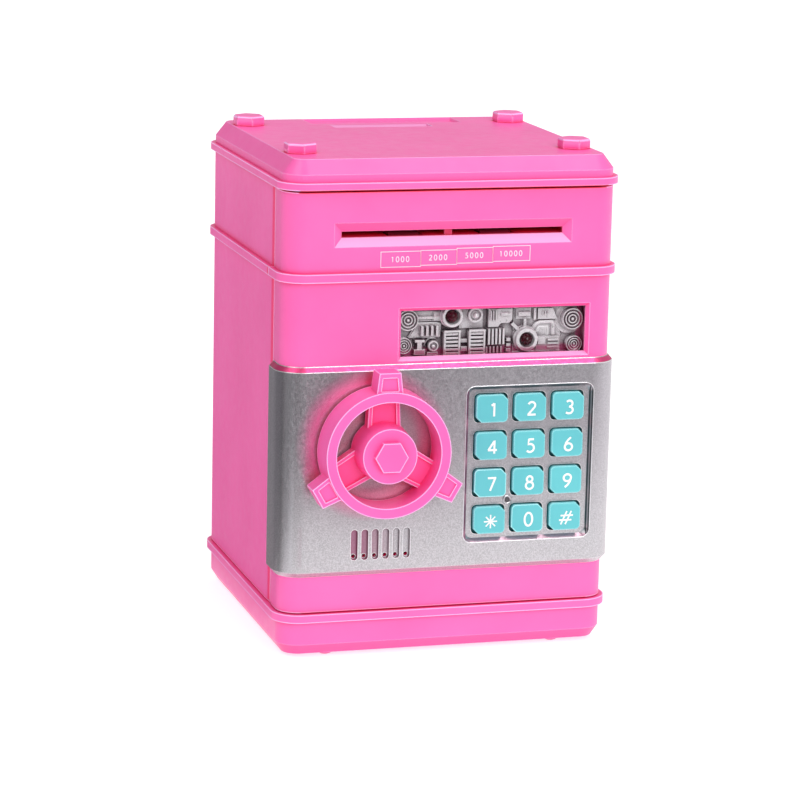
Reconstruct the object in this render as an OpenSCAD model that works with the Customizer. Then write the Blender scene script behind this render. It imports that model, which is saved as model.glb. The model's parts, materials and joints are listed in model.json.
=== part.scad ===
// Toy safe coin bank: a moulded body on a base tray, a lid with a coin slot, and a
// hinged front door that carries the keypad, the handwheel, the latch and the note feed.
// Millimetres, +Z up, the door faces -Y. The origin is the middle of the floor that the
// whole part covers, handwheel included, so Z = 0 is the underside of the feet.

/* [Body] */
// Width of the body across its flat sides
body_w = 130; // [124:0.5:136]
// Depth of the body from the door's face to the back
body_d = 124; // [120:0.5:130]
// Radius of the four upright corners
corner_r = 8.8; // [7.5:0.1:9.5]
// Wall thickness of the mouldings
wall = 2.2; // [1.8:0.1:2.6]
// How far the ribs stand out from the walls
rib_out = 1.8; // [1.2:0.1:2.2]
// Height of the feet
foot_h = 1.5; // [1:0.1:2]

/* [Heights] */
// Top of the base tray, where the door starts
base_top = 17.8; // [17.8:0.1:18]
// Underside of the rib around the middle
mid_rib_z = 145.1; // [144.5:0.1:146]
// Underside of the lid's rim
lid_z = 179.6; // [179.4:0.1:181]
// Height of the lid
lid_h = 11.1; // [10.5:0.1:12]

/* [Door] */
// Depth of the door, from its face back to the seam
door_d = 19; // [18.6:0.1:19.2]
// Width of the gap around the door
door_gap = 0.3; // [0.3:0.05:0.5]
// Lower edge of the silver panel's flat face
panel_z0 = 34.2; // [33.5:0.1:35]
// Upper edge of the silver panel's flat face
panel_z1 = 111.3; // [110.8:0.1:111.5]
// How far the silver panel stands out from the door
panel_out = 2; // [1.8:0.1:2.2]

/* [Handwheel] */
// Sideways place of the handwheel's shaft
wheel_x = -28.2; // [-29:0.1:-27.5]
// Height of the handwheel's shaft
wheel_z = 81.8; // [81:0.1:82.5]
// Outer radius of the handwheel's ring at its face
wheel_r = 24.15; // [23.5:0.05:24.5]
// Depth of the handwheel's ring
wheel_h = 12.5; // [12:0.1:13]
// Radius of the shaft
shaft_r = 3; // [2.8:0.05:3.1]

/* [Keypad] */
// Distance between key centres across the keypad
key_px = 15.25; // [15.2:0.05:15.4]
// Distance between key centres up the keypad
key_pz = 14.5; // [14.4:0.05:14.6]
// How far a key goes in
key_travel = 1.2; // [0.8:0.1:1.3]

/* [Slots] */
// Length of the note slot in the door
note_w = 86.4; // [84:0.1:88]
// Height of the note slot
note_h = 2.2; // [2:0.1:2.4]
// Length of the coin slot in the lid
coin_w = 40; // [38:0.5:44]
// Width of the coin slot
coin_d = 4.6; // [4.4:0.1:5]

/* [Hidden] */
$fn = 64;
eps = 0.01;

pink = "#ff73be";
teal = "#73d7dc";
silver = "#c2bec6";
steel = "#b9bcc0";

// Handwheel: gap behind its ring, and how far its hub and hexagon stand out of the ring
wheel_gap = 1.8;
hub_out = 1.2;
hex_h = 2.4;

// Body and door planes; the body's middle stands back by half of what the wheel sticks out
stand_y = (panel_out + wheel_gap + wheel_h + hub_out + hex_h - rib_out) / 2;
half_w = body_w / 2;
front_y = stand_y - body_d / 2;
seam_y = front_y + door_d;
door_y1 = seam_y - door_gap;
door_z0 = base_top + 0.5;
door_z1 = lid_z - 0.9;
body_z1 = lid_z - 0.5;
inner_front = front_y + wall;
cover_t = 2.2;
cover_y0 = door_y1 - cover_t;
panel_y = front_y - panel_out;
bevel_h = 4.1;
bevel_in = 2.6;
rib_h = 3.3;
base_rib_z = base_top - rib_h + 0.1;
shadow_in = 0.6;
groove_in = 0.6;
groove_body = 3;
groove_door = 4.3;

// Hinge: an upright axis inside the right front corner
hinge_x = half_w - 5;
hinge_y = front_y + 10.5;
hinge_sweep = 9.4;
hinge_gap = 0.4;
pin_r = 2.4;
fit = 0.05;

// Screw posts
post_r = 4;
rear_post = [54.2, stand_y + 42.5];
front_post = [58, stand_y - 33];
bolt_rows = [-39, 42.5];
foot_at = [45.5, 54.5];
cover_posts = [[-60, 28], [40, 28], [-60, 109], [56, 109], [-60, 168], [56, 168]];

// Battery bay, three cells side by side
cell_r = 7.25;
cell_len = 49;
cell_pitch = 15;
cell_z = foot_h + 2.1 + cell_r;
bay_y = stand_y + 22;
bay_l = cell_len + 5;
bay_w = 3 * cell_pitch;
bay_wall = 1.5;
bay_cover_t = 1.8;
bay_screw_x = bay_l / 2 + 3.5;
bay_top = cell_z + cell_r + 0.3;

// Lid
lid_top = lid_z + lid_h;
lid_rim_h = 2.8;
lid_wall_z = lid_z + 5.7;
lid_in = 4.2;
coin_x = -1.6;
coin_y = stand_y + 32.6;
coin_lead = 3.7;
coin_lead_h = 2;
grip_x = 2.75;
grip_w = 62.5;
grip_y0 = coin_y + 8.3;
grip_y1 = stand_y + 56.4;

// Note feed
note_z = 162.6;
note_back = 1.6;
note_y = inner_front + note_back;
roller_y = front_y + 9.4;
nip = 0.3;
drive_r = 5.5;
pinch_r = 4;
drive_z = note_z - nip / 2 - drive_r;
pinch_z = note_z + nip / 2 + pinch_r;
feed_shaft_r = 1.5;
bracket_x = 30;
bracket_t = 2;
gear_m = 0.5;
gear_teeth = 24;
pinion_teeth = 10;
chute_x = 44.5;
chute_wall = 1.2;
gear_x = -chute_x - chute_wall - 1.7;
gear_t = 2.6;
motor_z = drive_z - gear_m * (gear_teeth + pinion_teeth) / 2 - 0.1;
motor_r = 6.4;
motor_flat = 5;
motor_len = 13.4;

// Handwheel and latch
wheel_y = panel_y - wheel_gap;
shaft_end_r = 2;
rack_m = 0.8;
rack_teeth = 10;
rack_p = PI * rack_m;
bar_y0 = door_y1 + 2.4;
bar_t = 3.5;
bar_z0 = wheel_z + rack_m * rack_teeth / 2;
bar_h = 8;
bar_x0 = -54.2;
bar_x1 = -12;
lock_travel = rack_m * rack_teeth / 2 * PI / 2;
plunger_r = 1.6;
plunger_x = -44;
plunger_z = bar_z0 + 4.6;

// Keypad
pad_x = 31.3;
pad_z = 73.45;
key_w = 12.7;
key_h = 10.8;
key_cut = 1.5;
key_hole_w = 13.4;
key_hole_h = 11.5;
pad_w = 51.1;
pad_h = 61;
pad_floor_y = panel_y + 1.5;
pad_floor_t = 1.2;
mat_y = inner_front + key_travel + 0.2;
board_y = mat_y + 3;

// Window, sound slots
win_x = 16.9;
win_z = 124.4;
win_w = 73.2;
win_h = 17.6;
plate_y = inner_front + 7;
led_places = [[-15.2, 5.3], [14.6, -4.5]];
slot_x = -26.85;
slot_z = 44.35;
slot_pitch = 4.12;
slot_w = 2.7;
slot_h = 11.9;
slot_deep = 1.3;

// ---------- shared shapes ----------

// Rounded rectangle with true arcs
module plan(w, d, r) {
    square([w - 2 * r, d], center = true);
    square([w, d - 2 * r], center = true);
    for (sx = [-1, 1], sy = [-1, 1])
        translate([sx * (w / 2 - r), sy * (d / 2 - r)]) circle(r);
}

// The body's outline grown by g, between two heights
module slab(g, z0, z1) {
    translate([0, stand_y, z0])
        linear_extrude(z1 - z0) plan(body_w + 2 * g, body_d + 2 * g, corner_r + g);
}

// Box from one corner to the other
module block(a, b) { translate(a) cube(b - a); }

// Local XY becomes the door's face, and local Z points out of the door from plane y
module on_front(x, y, z) { translate([x, y, z]) rotate([90, 0, 0]) children(); }

// A cylinder along Y from y0 to y1
module rod_y(x, z, r, y0, y1) { on_front(x, y1, z) cylinder(r = r, h = y1 - y0); }

// A cylinder along X from x0 to x1
module rod_x(y, z, r, x0, x1) { translate([x0, y, z]) rotate([0, 90, 0]) cylinder(r = r, h = x1 - x0); }

// Everything in front of plane y, or behind it
module ahead_of(y) { block([-90, front_y - 40, -5], [90, y, 220]); }
module behind(y) { block([-90, y, -5], [90, front_y + 180, 220]); }

// Sloped recess in the door's face: wide at the surface, narrow at depth
module bevelled_hole(x, z, w0, h0, w1, h1, depth) {
    hull() {
        block([x - w0 / 2, front_y - eps, z - h0 / 2], [x + w0 / 2, front_y, z + h0 / 2]);
        block([x - w1 / 2, front_y + depth, z - h1 / 2], [x + w1 / 2, front_y + depth + eps, z + h1 / 2]);
    }
    block([x - w1 / 2, front_y, z - h1 / 2], [x + w1 / 2, front_y + 6, z + h1 / 2]);
}

// Slot with round ends, standing up, in local XY
module upright_slot(w, h) {
    square([w, h - w], center = true);
    for (s = [-1, 1]) translate([0, s * (h - w) / 2]) circle(d = w, $fn = 24);
}

// Flat outline of a spur gear whose first tooth points along +Y
module gear_outline(m, teeth, thick, add, ded) {
    r = m * teeth / 2;
    circle(r - ded);
    for (i = [0 : teeth - 1]) rotate(i * 360 / teeth)
        polygon([[-thick * 0.8, r - ded - 0.2], [thick * 0.8, r - ded - 0.2],
                 [thick / 2, r], [thick * 0.3, r + add], [-thick * 0.3, r + add], [-thick / 2, r]]);
}

// Pan-head screw along +Z, its head below z = 0
module screw(len, r = 1.3, head_r = 2.5, head_h = 1.5) {
    cylinder(r = r, h = len, $fn = 24);
    translate([0, 0, -head_h]) cylinder(r1 = head_r * 0.8, r2 = head_r, h = head_h, $fn = 24);
}

// Round cable through the listed points: one ring of points per listed point, and at each
// bend the ring lies in the plane that halves the corner
cable_sides = 8;
function unit(v) = v / norm(v);
function slide_to(ring, dir, at, normal) =
    [for (p = ring) p + dir * (((at - p) * normal) / (dir * normal))];
function heading(points, i) = unit(points[i + 1] - points[i]);
function mitre(points, i) =
    i == len(points) - 1 ? heading(points, i - 1) : unit(heading(points, i - 1) + heading(points, i));
function rings(points, ring, i = 1) =
    i == len(points) ? [ring]
    : let (next = slide_to(ring, heading(points, i - 1), points[i], mitre(points, i)))
      concat([ring], rings(points, next, i + 1));
function first_ring(points, r) =
    let (d = heading(points, 0), u = unit(cross(d, [0.1, 0.9, 0.2])), v = cross(d, u))
    [for (k = [0 : cable_sides - 1]) points[0] + r * (cos(k * 360 / cable_sides) * u
                                                      + sin(k * 360 / cable_sides) * v)];
module cable(points, r) {
    n = cable_sides;
    all = rings(points, first_ring(points, r));
    polyhedron(
        points = [for (ring = all) each ring],
        faces = concat(
            [[for (k = [0 : n - 1]) k]],
            [for (i = [0 : len(all) - 2], k = [0 : n - 1])
                [i * n + (k + 1) % n, i * n + k, (i + 1) * n + k, (i + 1) * n + (k + 1) % n]],
            [[for (k = [n - 1 : -1 : 0]) (len(all) - 1) * n + k]]));
}

function key_x(col) = pad_x + (col - 1) * key_px;
function key_z(row) = pad_z + (1.5 - row) * key_pz;

// ---------- base ----------

module base_tray() {
    color(pink) difference() {
        union() {
            hull() {
                slab(-bevel_in, foot_h, foot_h + eps);
                slab(0, foot_h + bevel_h, foot_h + bevel_h + eps);
            }
            slab(0, foot_h + bevel_h, base_top);
            slab(rib_out, base_rib_z, base_top);
        }
        difference() {
            slab(-wall - bevel_in / 2, foot_h + wall, base_top + 1);
            for (s = [-1, 1]) {
                translate([s * rear_post[0], rear_post[1], 0]) cylinder(r = post_r, h = base_top - wall);
                translate([s * front_post[0], front_post[1], 0]) cylinder(r = post_r, h = base_top - wall);
            }
            translate([hinge_x, hinge_y, 0]) cylinder(r = post_r, h = base_top - wall);
            block([-bay_l / 2 - bay_wall, bay_y - bay_w / 2 - bay_wall, 0],
                  [bay_l / 2 + bay_wall, bay_y + bay_w / 2 + bay_wall, bay_top + bay_wall]);
            translate([bay_screw_x, bay_y, 0]) cylinder(r = 3.6, h = 12);
        }
        block([-bay_l / 2, bay_y - bay_w / 2, -1], [bay_l / 2, bay_y + bay_w / 2, base_top + 1]);
        block([-bay_l / 2 - 6, bay_y - 5, -1], [bay_screw_x + 4, bay_y + 5, foot_h + bay_cover_t]);
        translate([bay_screw_x, bay_y, 0]) cylinder(r = 1.3, h = 10, $fn = 24);
        for (s = [-1, 1]) {
            translate([s * rear_post[0], rear_post[1], -1]) cylinder(r = 1.7, h = 40, $fn = 24);
            translate([s * rear_post[0], rear_post[1], -1]) cylinder(r = 3, h = foot_h + 6);
            translate([s * front_post[0], front_post[1], -1]) cylinder(r = 1.7, h = 40, $fn = 24);
            translate([s * front_post[0], front_post[1], -1]) cylinder(r = 3, h = foot_h + 6);
        }
        translate([hinge_x, hinge_y, foot_h + wall]) cylinder(r = pin_r, h = 30);
        block([hinge_x - 8, hinge_y - 1.4, foot_h + wall], [hinge_x, hinge_y + 1.4, foot_h + wall + 4]);
    }
    color(pink) difference() {
        block([-bay_l / 2 - bay_wall, bay_y - bay_w / 2 - bay_wall, base_top],
              [bay_l / 2 + bay_wall, bay_y + bay_w / 2 + bay_wall, bay_top + bay_wall]);
        block([-bay_l / 2, bay_y - bay_w / 2, 0], [bay_l / 2, bay_y + bay_w / 2, bay_top]);
    }
}

module cavity_floor() {
    gap = 0.1;
    color("#f06ab0") difference() {
        slab(-wall - bevel_in / 2 - gap, base_top - wall, base_top);
        block([-bay_l / 2 - bay_wall - gap, bay_y - bay_w / 2 - bay_wall - gap, 0],
              [bay_l / 2 + bay_wall + gap, bay_y + bay_w / 2 + bay_wall + gap, 40]);
        for (s = [-1, 1]) {
            translate([s * rear_post[0], rear_post[1], 0]) cylinder(r = 1.7, h = 40, $fn = 24);
            translate([s * front_post[0], front_post[1], 0]) cylinder(r = 1.7, h = 40, $fn = 24);
        }
        translate([hinge_x, hinge_y, 0]) cylinder(r = pin_r, h = 40);
    }
}

module feet() {
    color(pink) for (sx = [-1, 1], sy = [-1, 1]) translate([sx * foot_at[0], stand_y + sy * foot_at[1], 0])
        rotate_extrude($fn = 32)
            polygon([[0, 0], [1.9, 0], [2.6, 0.3], [3.1, 0.9], [3.2, foot_h], [0, foot_h]]);
}

module battery_cover() {
    gap = 0.2;
    top = foot_h + bay_cover_t;
    color(pink) difference() {
        union() {
            block([-bay_l / 2 + gap, bay_y - bay_w / 2 + gap, foot_h],
                  [bay_l / 2 - gap, bay_y + bay_w / 2 - gap, top]);
            block([-bay_l / 2 - 6 + gap, bay_y - 5 + gap, foot_h],
                  [bay_screw_x + 4 - gap, bay_y + 5 - gap, top]);
        }
        translate([bay_screw_x, bay_y, 0]) cylinder(r = 1.5, h = 10, $fn = 24);
        translate([bay_screw_x, bay_y, 0]) cylinder(r = 2.7, h = foot_h + 1);
        for (i = [0 : 4]) block([-bay_l / 2 + 4 + i * 2.4, bay_y - 8, foot_h - eps],
                                [-bay_l / 2 + 5.2 + i * 2.4, bay_y + 8, foot_h + 0.5]);
    }
}

module battery_screw() {
    color(steel) translate([bay_screw_x, bay_y, foot_h + 1]) screw(6.5, 1.25, 2.5, 0.9);
}

module batteries() {
    for (i = [-1 : 1]) {
        dir = i == 0 ? -1 : 1;
        translate([0, bay_y + i * cell_pitch, cell_z]) rotate([0, 90 * dir, 0]) {
            color("#3b3f46") translate([0, 0, -cell_len / 2]) cylinder(r = cell_r, h = cell_len - 1.5);
            color(steel) translate([0, 0, cell_len / 2 - 1.5]) cylinder(r = 2.7, h = 1.5, $fn = 24);
        }
    }
}

module battery_contacts() {
    color(steel) for (i = [-1 : 1], s = [-1, 1])
        translate([s * (bay_l / 2 - 0.4), bay_y + i * cell_pitch, cell_z]) {
            block([-0.4, -5, -5], [0.4, 5, 5]);
            rotate([0, -90 * s, 0]) cylinder(r1 = 4, r2 = 2, h = 2.05, $fn = 24);
        }
}

module base_screws() {
    color(steel) for (p = [rear_post, front_post], s = [-1, 1])
        translate([s * p[0], p[1], foot_h + 5]) screw(18);
}

// ---------- body ----------

// Shallow V groove down both sides, with the gap between body and door at its bottom
module seam_groove() {
    for (s = [-1, 1]) translate([0, 0, door_z0 - 1]) linear_extrude(door_z1 - door_z0 + 2)
        polygon([[s * (half_w + eps), seam_y + groove_body], [s * (half_w - groove_in), seam_y],
                 [s * (half_w - groove_in), door_y1], [s * (half_w + eps), door_y1 - groove_door],
                 [s * (half_w + 1), door_y1]]);
}

// Everything of the body that lies behind the door's seam, with room for the hinge sweep
module body_zone() {
    difference() {
        union() {
            behind(seam_y);
            block([half_w, seam_y - 3, -5], [90, seam_y + 1, 220]);
        }
        translate([hinge_x, hinge_y, -6]) cylinder(r = hinge_sweep + hinge_gap, h = 230);
    }
}

module body_shell() {
    color(pink) difference() {
        union() {
            intersection() {
                difference() {
                    union() {
                        slab(-shadow_in, base_top, lid_z);
                        difference() {
                            slab(0, door_z0, body_z1);
                            seam_groove();
                        }
                        slab(rib_out, mid_rib_z, mid_rib_z + rib_h);
                    }
                    slab(-wall, 0, 220);
                }
                body_zone();
            }
            for (s = [-1, 1]) {
                translate([s * rear_post[0], rear_post[1], base_top])
                    cylinder(r = post_r, h = lid_z - base_top);
                block([s > 0 ? rear_post[0] + 3 : -half_w + wall - eps, rear_post[1] - 1, base_top],
                      [s > 0 ? half_w - wall + eps : -rear_post[0] - 3, rear_post[1] + 1, lid_z]);
                translate([s * front_post[0], front_post[1], base_top]) cylinder(r = post_r, h = 22);
                block([s > 0 ? front_post[0] + 3 : -half_w + wall - eps, front_post[1] - 1, base_top],
                      [s > 0 ? half_w - wall + eps : -front_post[0] - 3, front_post[1] + 1, base_top + 22]);
            }
        }
        for (s = [-1, 1]) {
            translate([s * rear_post[0], rear_post[1], base_top - 1]) cylinder(r = 1.35, h = 14, $fn = 24);
            translate([s * rear_post[0], rear_post[1], lid_z - 12]) cylinder(r = 1.35, h = 14, $fn = 24);
            translate([s * front_post[0], front_post[1], base_top - 1]) cylinder(r = 1.35, h = 14, $fn = 24);
        }
    }
}

// Steel angle on the left wall that the latch bar slides behind
module strike_plate() {
    inner_x = -half_w + wall;
    z0 = bar_z0 - 3;
    z1 = bar_z0 + bar_h + 4;
    color(steel) difference() {
        union() {
            block([inner_x, door_y1 + 0.7, z0], [inner_x + 5.8, door_y1 + 1.9, z1]);
            block([inner_x, door_y1 + 0.7, z0], [inner_x + 1, stand_y - 22, z1]);
        }
        block([inner_x - 1, bar_y0 - 0.4, bar_z0 - 0.5],
              [inner_x + 2, bar_y0 + bar_t + 0.4, bar_z0 + bar_h + 0.5]);
    }
}

module lid() {
    color(pink) difference() {
        union() {
            slab(rib_out, lid_z, lid_z + lid_rim_h);
            slab(-0.1, lid_z, lid_wall_z);
            hull() {
                slab(-0.1, lid_wall_z - eps, lid_wall_z);
                slab(-lid_in, lid_top - eps, lid_top);
            }
        }
        difference() {
            union() {
                slab(-wall, lid_z - 1, lid_wall_z - 0.4);
                slab(-wall - lid_in, lid_z - 1, lid_top - 2.6);
            }
            translate([hinge_x - 1, hinge_y + 1, lid_z]) cylinder(r = post_r + 1, h = lid_h);
            for (s = [-1, 1])
                translate([s * rear_post[0], rear_post[1], lid_z]) cylinder(r = post_r, h = lid_h);
            for (s = [-1, 1]) translate([coin_x, coin_y + s * (coin_d / 2 + 0.7), 0])
                block([-coin_w / 2 - 3, -0.7, lid_z + 2], [coin_w / 2 + 3, 0.7, lid_top]);
        }
        block([coin_x - coin_w / 2, coin_y - coin_d / 2, lid_z - 1],
              [coin_x + coin_w / 2, coin_y + coin_d / 2, lid_top + 1]);
        translate([coin_x - coin_w / 2, coin_y + coin_d / 2 - eps, lid_top]) rotate([90, 0, 90])
            linear_extrude(coin_w) polygon([[0, -coin_lead_h], [coin_lead, 0], [coin_lead, 1], [0, 1]]);
        hull() {
            block([grip_x - grip_w / 2, grip_y0, lid_top - eps],
                  [grip_x + grip_w / 2, grip_y1, lid_top + eps]);
            block([grip_x - grip_w / 2 + 1, grip_y0 + 0.5, lid_top - 1.2],
                  [grip_x + grip_w / 2 - 1, grip_y1 - 2, lid_top]);
        }
        translate([hinge_x, hinge_y, lid_z - 1]) cylinder(r = pin_r, h = 8.4);
        for (s = [-1, 1]) translate([s * rear_post[0], rear_post[1], lid_z - 1]) {
            cylinder(r = 1.7, h = 20, $fn = 24);
            translate([0, 0, 5]) cylinder(r = 3.2, h = 20);
        }
    }
}

module lid_bolts() {
    color(pink) for (sx = [-1, 1], y = bolt_rows)
        translate([sx * rear_post[0], stand_y + y, lid_top]) {
            rotate(30) cylinder(r = 6.5, h = 3.3, $fn = 6);
            translate([0, 0, 3.3]) rotate(30) cylinder(r1 = 6.5, r2 = 5.8, h = 0.7, $fn = 6);
            if (y > 0) translate([0, 0, -2]) cylinder(r = 3.1, h = 2 + eps);
        }
}

module lid_screws() {
    color(steel) for (s = [-1, 1])
        translate([s * rear_post[0], rear_post[1], lid_z + 4]) mirror([0, 0, 1]) screw(14);
}

module hinge_pins() {
    color(steel) translate([hinge_x, hinge_y, 0]) {
        difference() {
            translate([0, 0, foot_h + wall]) cylinder(r = pin_r, h = door_z0 + 4.2 - foot_h - wall);
            translate([0, 0, 0]) cylinder(r = 1.4, h = 60, $fn = 32);
            block([-4, -1.2, 0], [0, 1.2, foot_h + wall + 4]);
        }
        translate([0, 0, door_z1 - 6]) cylinder(r = pin_r, h = lid_z + 7.4 - door_z1 + 6);
    }
}

module battery_wire() {
    z = foot_h + wall + 1.6;
    color("#c8323c") cable([[bay_l / 2 + bay_wall + 1.2, bay_y - 12, z], [46, stand_y, z], [46, hinge_y, z],
                            [hinge_x, hinge_y, z], [hinge_x, hinge_y, door_z0 + 4.2]], 1.1);
}

// ---------- door ----------

// Everything that may belong to the door: ahead of the seam and inside the hinge sweep
module door_zone(y) {
    difference() {
        ahead_of(y);
        difference() {
            block([hinge_x, hinge_y, -6], [90, hinge_y + 60, 230]);
            translate([hinge_x, hinge_y, -7]) cylinder(r = hinge_sweep, h = 240);
        }
    }
}

// Shallow grooves in the silver panel in front of the speaker
module sound_slots() {
    for (i = [-2.5 : 2.5]) on_front(slot_x + i * slot_pitch, panel_y + slot_deep, slot_z)
        linear_extrude(10) upright_slot(slot_w, slot_h);
}

// One small hole at the foot of each groove, through the panel and the door
module sound_holes() {
    for (i = [-2.5 : 2.5])
        rod_y(slot_x + i * slot_pitch, slot_z - (slot_h - slot_w) / 2, 0.8, panel_y - 1, inner_front + 0.2);
}

module door_front() {
    color(pink) difference() {
        union() {
            intersection() {
                difference() {
                    union() {
                        difference() {
                            slab(0, door_z0, door_z1);
                            seam_groove();
                        }
                        slab(rib_out, mid_rib_z, mid_rib_z + rib_h);
                    }
                    slab(-wall, door_z0 + wall, door_z1 - wall);
                }
                door_zone(door_y1);
            }
            intersection() {
                translate([hinge_x, hinge_y, door_z0]) cylinder(r = post_r + 0.6, h = 4);
                slab(-1, 0, 220);
            }
            intersection() {
                translate([hinge_x, hinge_y, door_z1 - 6]) cylinder(r = post_r + 0.6, h = 6);
                slab(-1, 0, 220);
            }
            for (p = cover_posts)
                rod_y(p[0], p[1], 2.6, p[0] < -57 ? front_y + 5 : inner_front - eps, cover_y0);
            block([-46, inner_front - eps, note_z - 6], [46, note_y, note_z + 6]);
        }
        bevelled_hole(0, note_z, 93, 9.2, note_w, note_h, wall);
        bevelled_hole(win_x, win_z, win_w + 2.4, win_h + 2.6, win_w, win_h, 1.4);
        block([pad_x - pad_w / 2 + 1.6, front_y - 1, pad_z - pad_h / 2 + 1.6],
              [pad_x + pad_w / 2 - 1.6, inner_front + 1, pad_z + pad_h / 2 - 1.6]);
        sound_holes();
        rod_y(wheel_x, wheel_z, 6, front_y - 1, inner_front + 1);
        for (z = [door_z0 - 1, door_z1 - 7])
            translate([hinge_x, hinge_y, z]) cylinder(r = pin_r + fit, h = 8);
        for (p = cover_posts) rod_y(p[0], p[1], 1.35, cover_y0 - 6, cover_y0 + 1);
    }
    color(pink) block([-3.2, inner_front + 0.6, note_z - note_h / 2 - eps],
                      [-0.2, note_y, note_z + note_h / 2 + eps]);
}

// Sleeve around the door's front, bevelled at its top and bottom edges
module silver_panel() {
    color(silver) {
        difference() {
            intersection() {
                union() {
                    difference() {
                        union() {
                            slab(panel_out, panel_z0, panel_z1);
                            for (e = [[panel_z0, -1], [panel_z1, 1]]) hull() {
                                slab(panel_out, e[0] - eps / 2, e[0] + eps / 2);
                                slab(0.2, e[0] + e[1] * 2 - eps / 2, e[0] + e[1] * 2 + eps / 2);
                            }
                        }
                        slab(0, 0, 220);
                    }
                    block([pad_x - pad_w / 2 + 1.7, pad_floor_y, pad_z - pad_h / 2 + 1.7],
                          [pad_x + pad_w / 2 - 1.7, pad_floor_y + pad_floor_t, pad_z + pad_h / 2 - 1.7]);
                }
                ahead_of(seam_y - 3.6);
            }
            hull() {
                on_front(pad_x, pad_floor_y, pad_z) linear_extrude(eps) plan(pad_w - 3, pad_h - 3, 2.5);
                on_front(pad_x, panel_y + eps, pad_z) linear_extrude(1) plan(pad_w, pad_h, 3.5);
            }
            for (row = [0 : 3], col = [0 : 2]) on_front(key_x(col), pad_floor_y + 3, key_z(row))
                linear_extrude(20) plan(key_hole_w, key_hole_h, 2);
            sound_slots();
            sound_holes();
            rod_y(wheel_x, wheel_z, 6, panel_y - 1, front_y + 1);
            rod_y(pad_x - key_px / 2, key_z(2.5), 1.25, panel_y - 1, front_y + 2);
        }
    }
}

module door_inner_cover() {
    gap = 0.15;
    color("#f06ab0") difference() {
        intersection() {
            slab(-wall - gap, door_z0 + wall + gap, door_z1 - wall - gap);
            door_zone(door_y1);
            behind(cover_y0);
        }
        block([-44, cover_y0 - 1, note_z - 2.2], [44, door_y1 + 1, note_z + 2.2]);
        rod_y(wheel_x, wheel_z, shaft_r + fit, cover_y0 - 1, door_y1 + 1);
        rod_y(plunger_x, plunger_z, plunger_r + fit, cover_y0 - 1, door_y1 + 1);
        for (p = cover_posts) rod_y(p[0], p[1], 1.5, cover_y0 - 1, door_y1 + 1);
    }
}

module cover_screws() {
    color(steel) for (p = cover_posts) on_front(p[0], door_y1, p[1]) screw(cover_t + 5.5, 1.3, 2.4, 1.1);
}

module window_lens() {
    color("#e8eef2", 0.4) block([win_x - win_w / 2 - 2, inner_front, win_z - win_h / 2 - 1.6],
                                [win_x + win_w / 2 + 2, inner_front + 1.2, win_z + win_h / 2 + 1.6]);
}

// Decorative machinery behind the window
module mechanism_panel() {
    color(silver) difference() {
        union() {
            difference() {
                block([win_x - win_w / 2 - 2, inner_front + 1.2, win_z - win_h / 2 - 1.6],
                      [win_x + win_w / 2 + 2, plate_y + 1.2, win_z + win_h / 2 + 1.6]);
                block([win_x - win_w / 2 - 1, inner_front, win_z - win_h / 2 - 0.8],
                      [win_x + win_w / 2 + 1, plate_y, win_z + win_h / 2 + 0.8]);
            }
            for (k = [[-32.5, 4.3, 3.6], [32.9, 3, 4], [-33.8, -5.6, 2.8], [34, -6.9, 2.8], [-5.7, 5.4, 2.6]])
                rod_y(win_x + k[0], win_z + k[1], k[2], plate_y - 4, plate_y);
            for (k = led_places)
                rod_y(win_x + k[0], win_z + k[1], 4.4, plate_y - 3, plate_y);
            for (b = [[-15, -4.7, 6.6, 9.5], [-5, -5, 6.6, 9.5], [4.2, 0, 9, 15], [14, 5.4, 5.6, 4],
                      [22.6, 5, 6.4, 4], [-23.8, 0, 10, 5.2], [23.6, -6.3, 9, 4.6]])
                block([win_x + b[0] - b[2] / 2, plate_y - 3, win_z + b[1] - b[3] / 2],
                      [win_x + b[0] + b[2] / 2, plate_y, win_z + b[1] + b[3] / 2]);
        }
        for (k = led_places)
            rod_y(win_x + k[0], win_z + k[1], 2.5, plate_y - 5, plate_y + 3);
    }
}

module window_leds() {
    color("#7a1020") for (k = led_places) {
        rod_y(win_x + k[0], win_z + k[1], 2.45, plate_y - 3, plate_y + 3);
        translate([win_x + k[0], plate_y - 3, win_z + k[1]]) sphere(2.45, $fn = 32);
    }
}

module status_led() {
    color("#8a8f96") rod_y(pad_x - key_px / 2, key_z(2.5), 1, pad_floor_y - 0.2, mat_y);
}

// ---------- handwheel and latch ----------

module shaft_bushing() {
    color("#e9e4da") difference() {
        union() {
            rod_y(wheel_x, wheel_z, 5.95, panel_y - 0.8, inner_front);
            rod_y(wheel_x, wheel_z, 7.8, inner_front, inner_front + 2);
        }
        rod_y(wheel_x, wheel_z, shaft_r + fit, panel_y - 2, inner_front + 3);
    }
}

// One spoke with its lug, pointing along local +Y
module spoke() {
    difference() {
        linear_extrude(4.5) polygon([[-6.5, 8], [6.5, 8], [5.8, 21], [-5.8, 21]]);
        translate([0, 0, 3.4]) linear_extrude(2) polygon([[-4.9, 7], [4.9, 7], [4.3, 22], [-4.3, 22]]);
    }
    translate([0, 0, 3]) difference() {
        linear_extrude(8.6) polygon([[-5.2, 22.5], [5.2, 22.5], [4.15, 31.3], [-4.15, 31.3]]);
        translate([0, 0, 8]) linear_extrude(2)
            polygon([[-3.3, 24.4], [3.3, 24.4], [2.75, 29.3], [-2.75, 29.3]]);
    }
}

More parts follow.
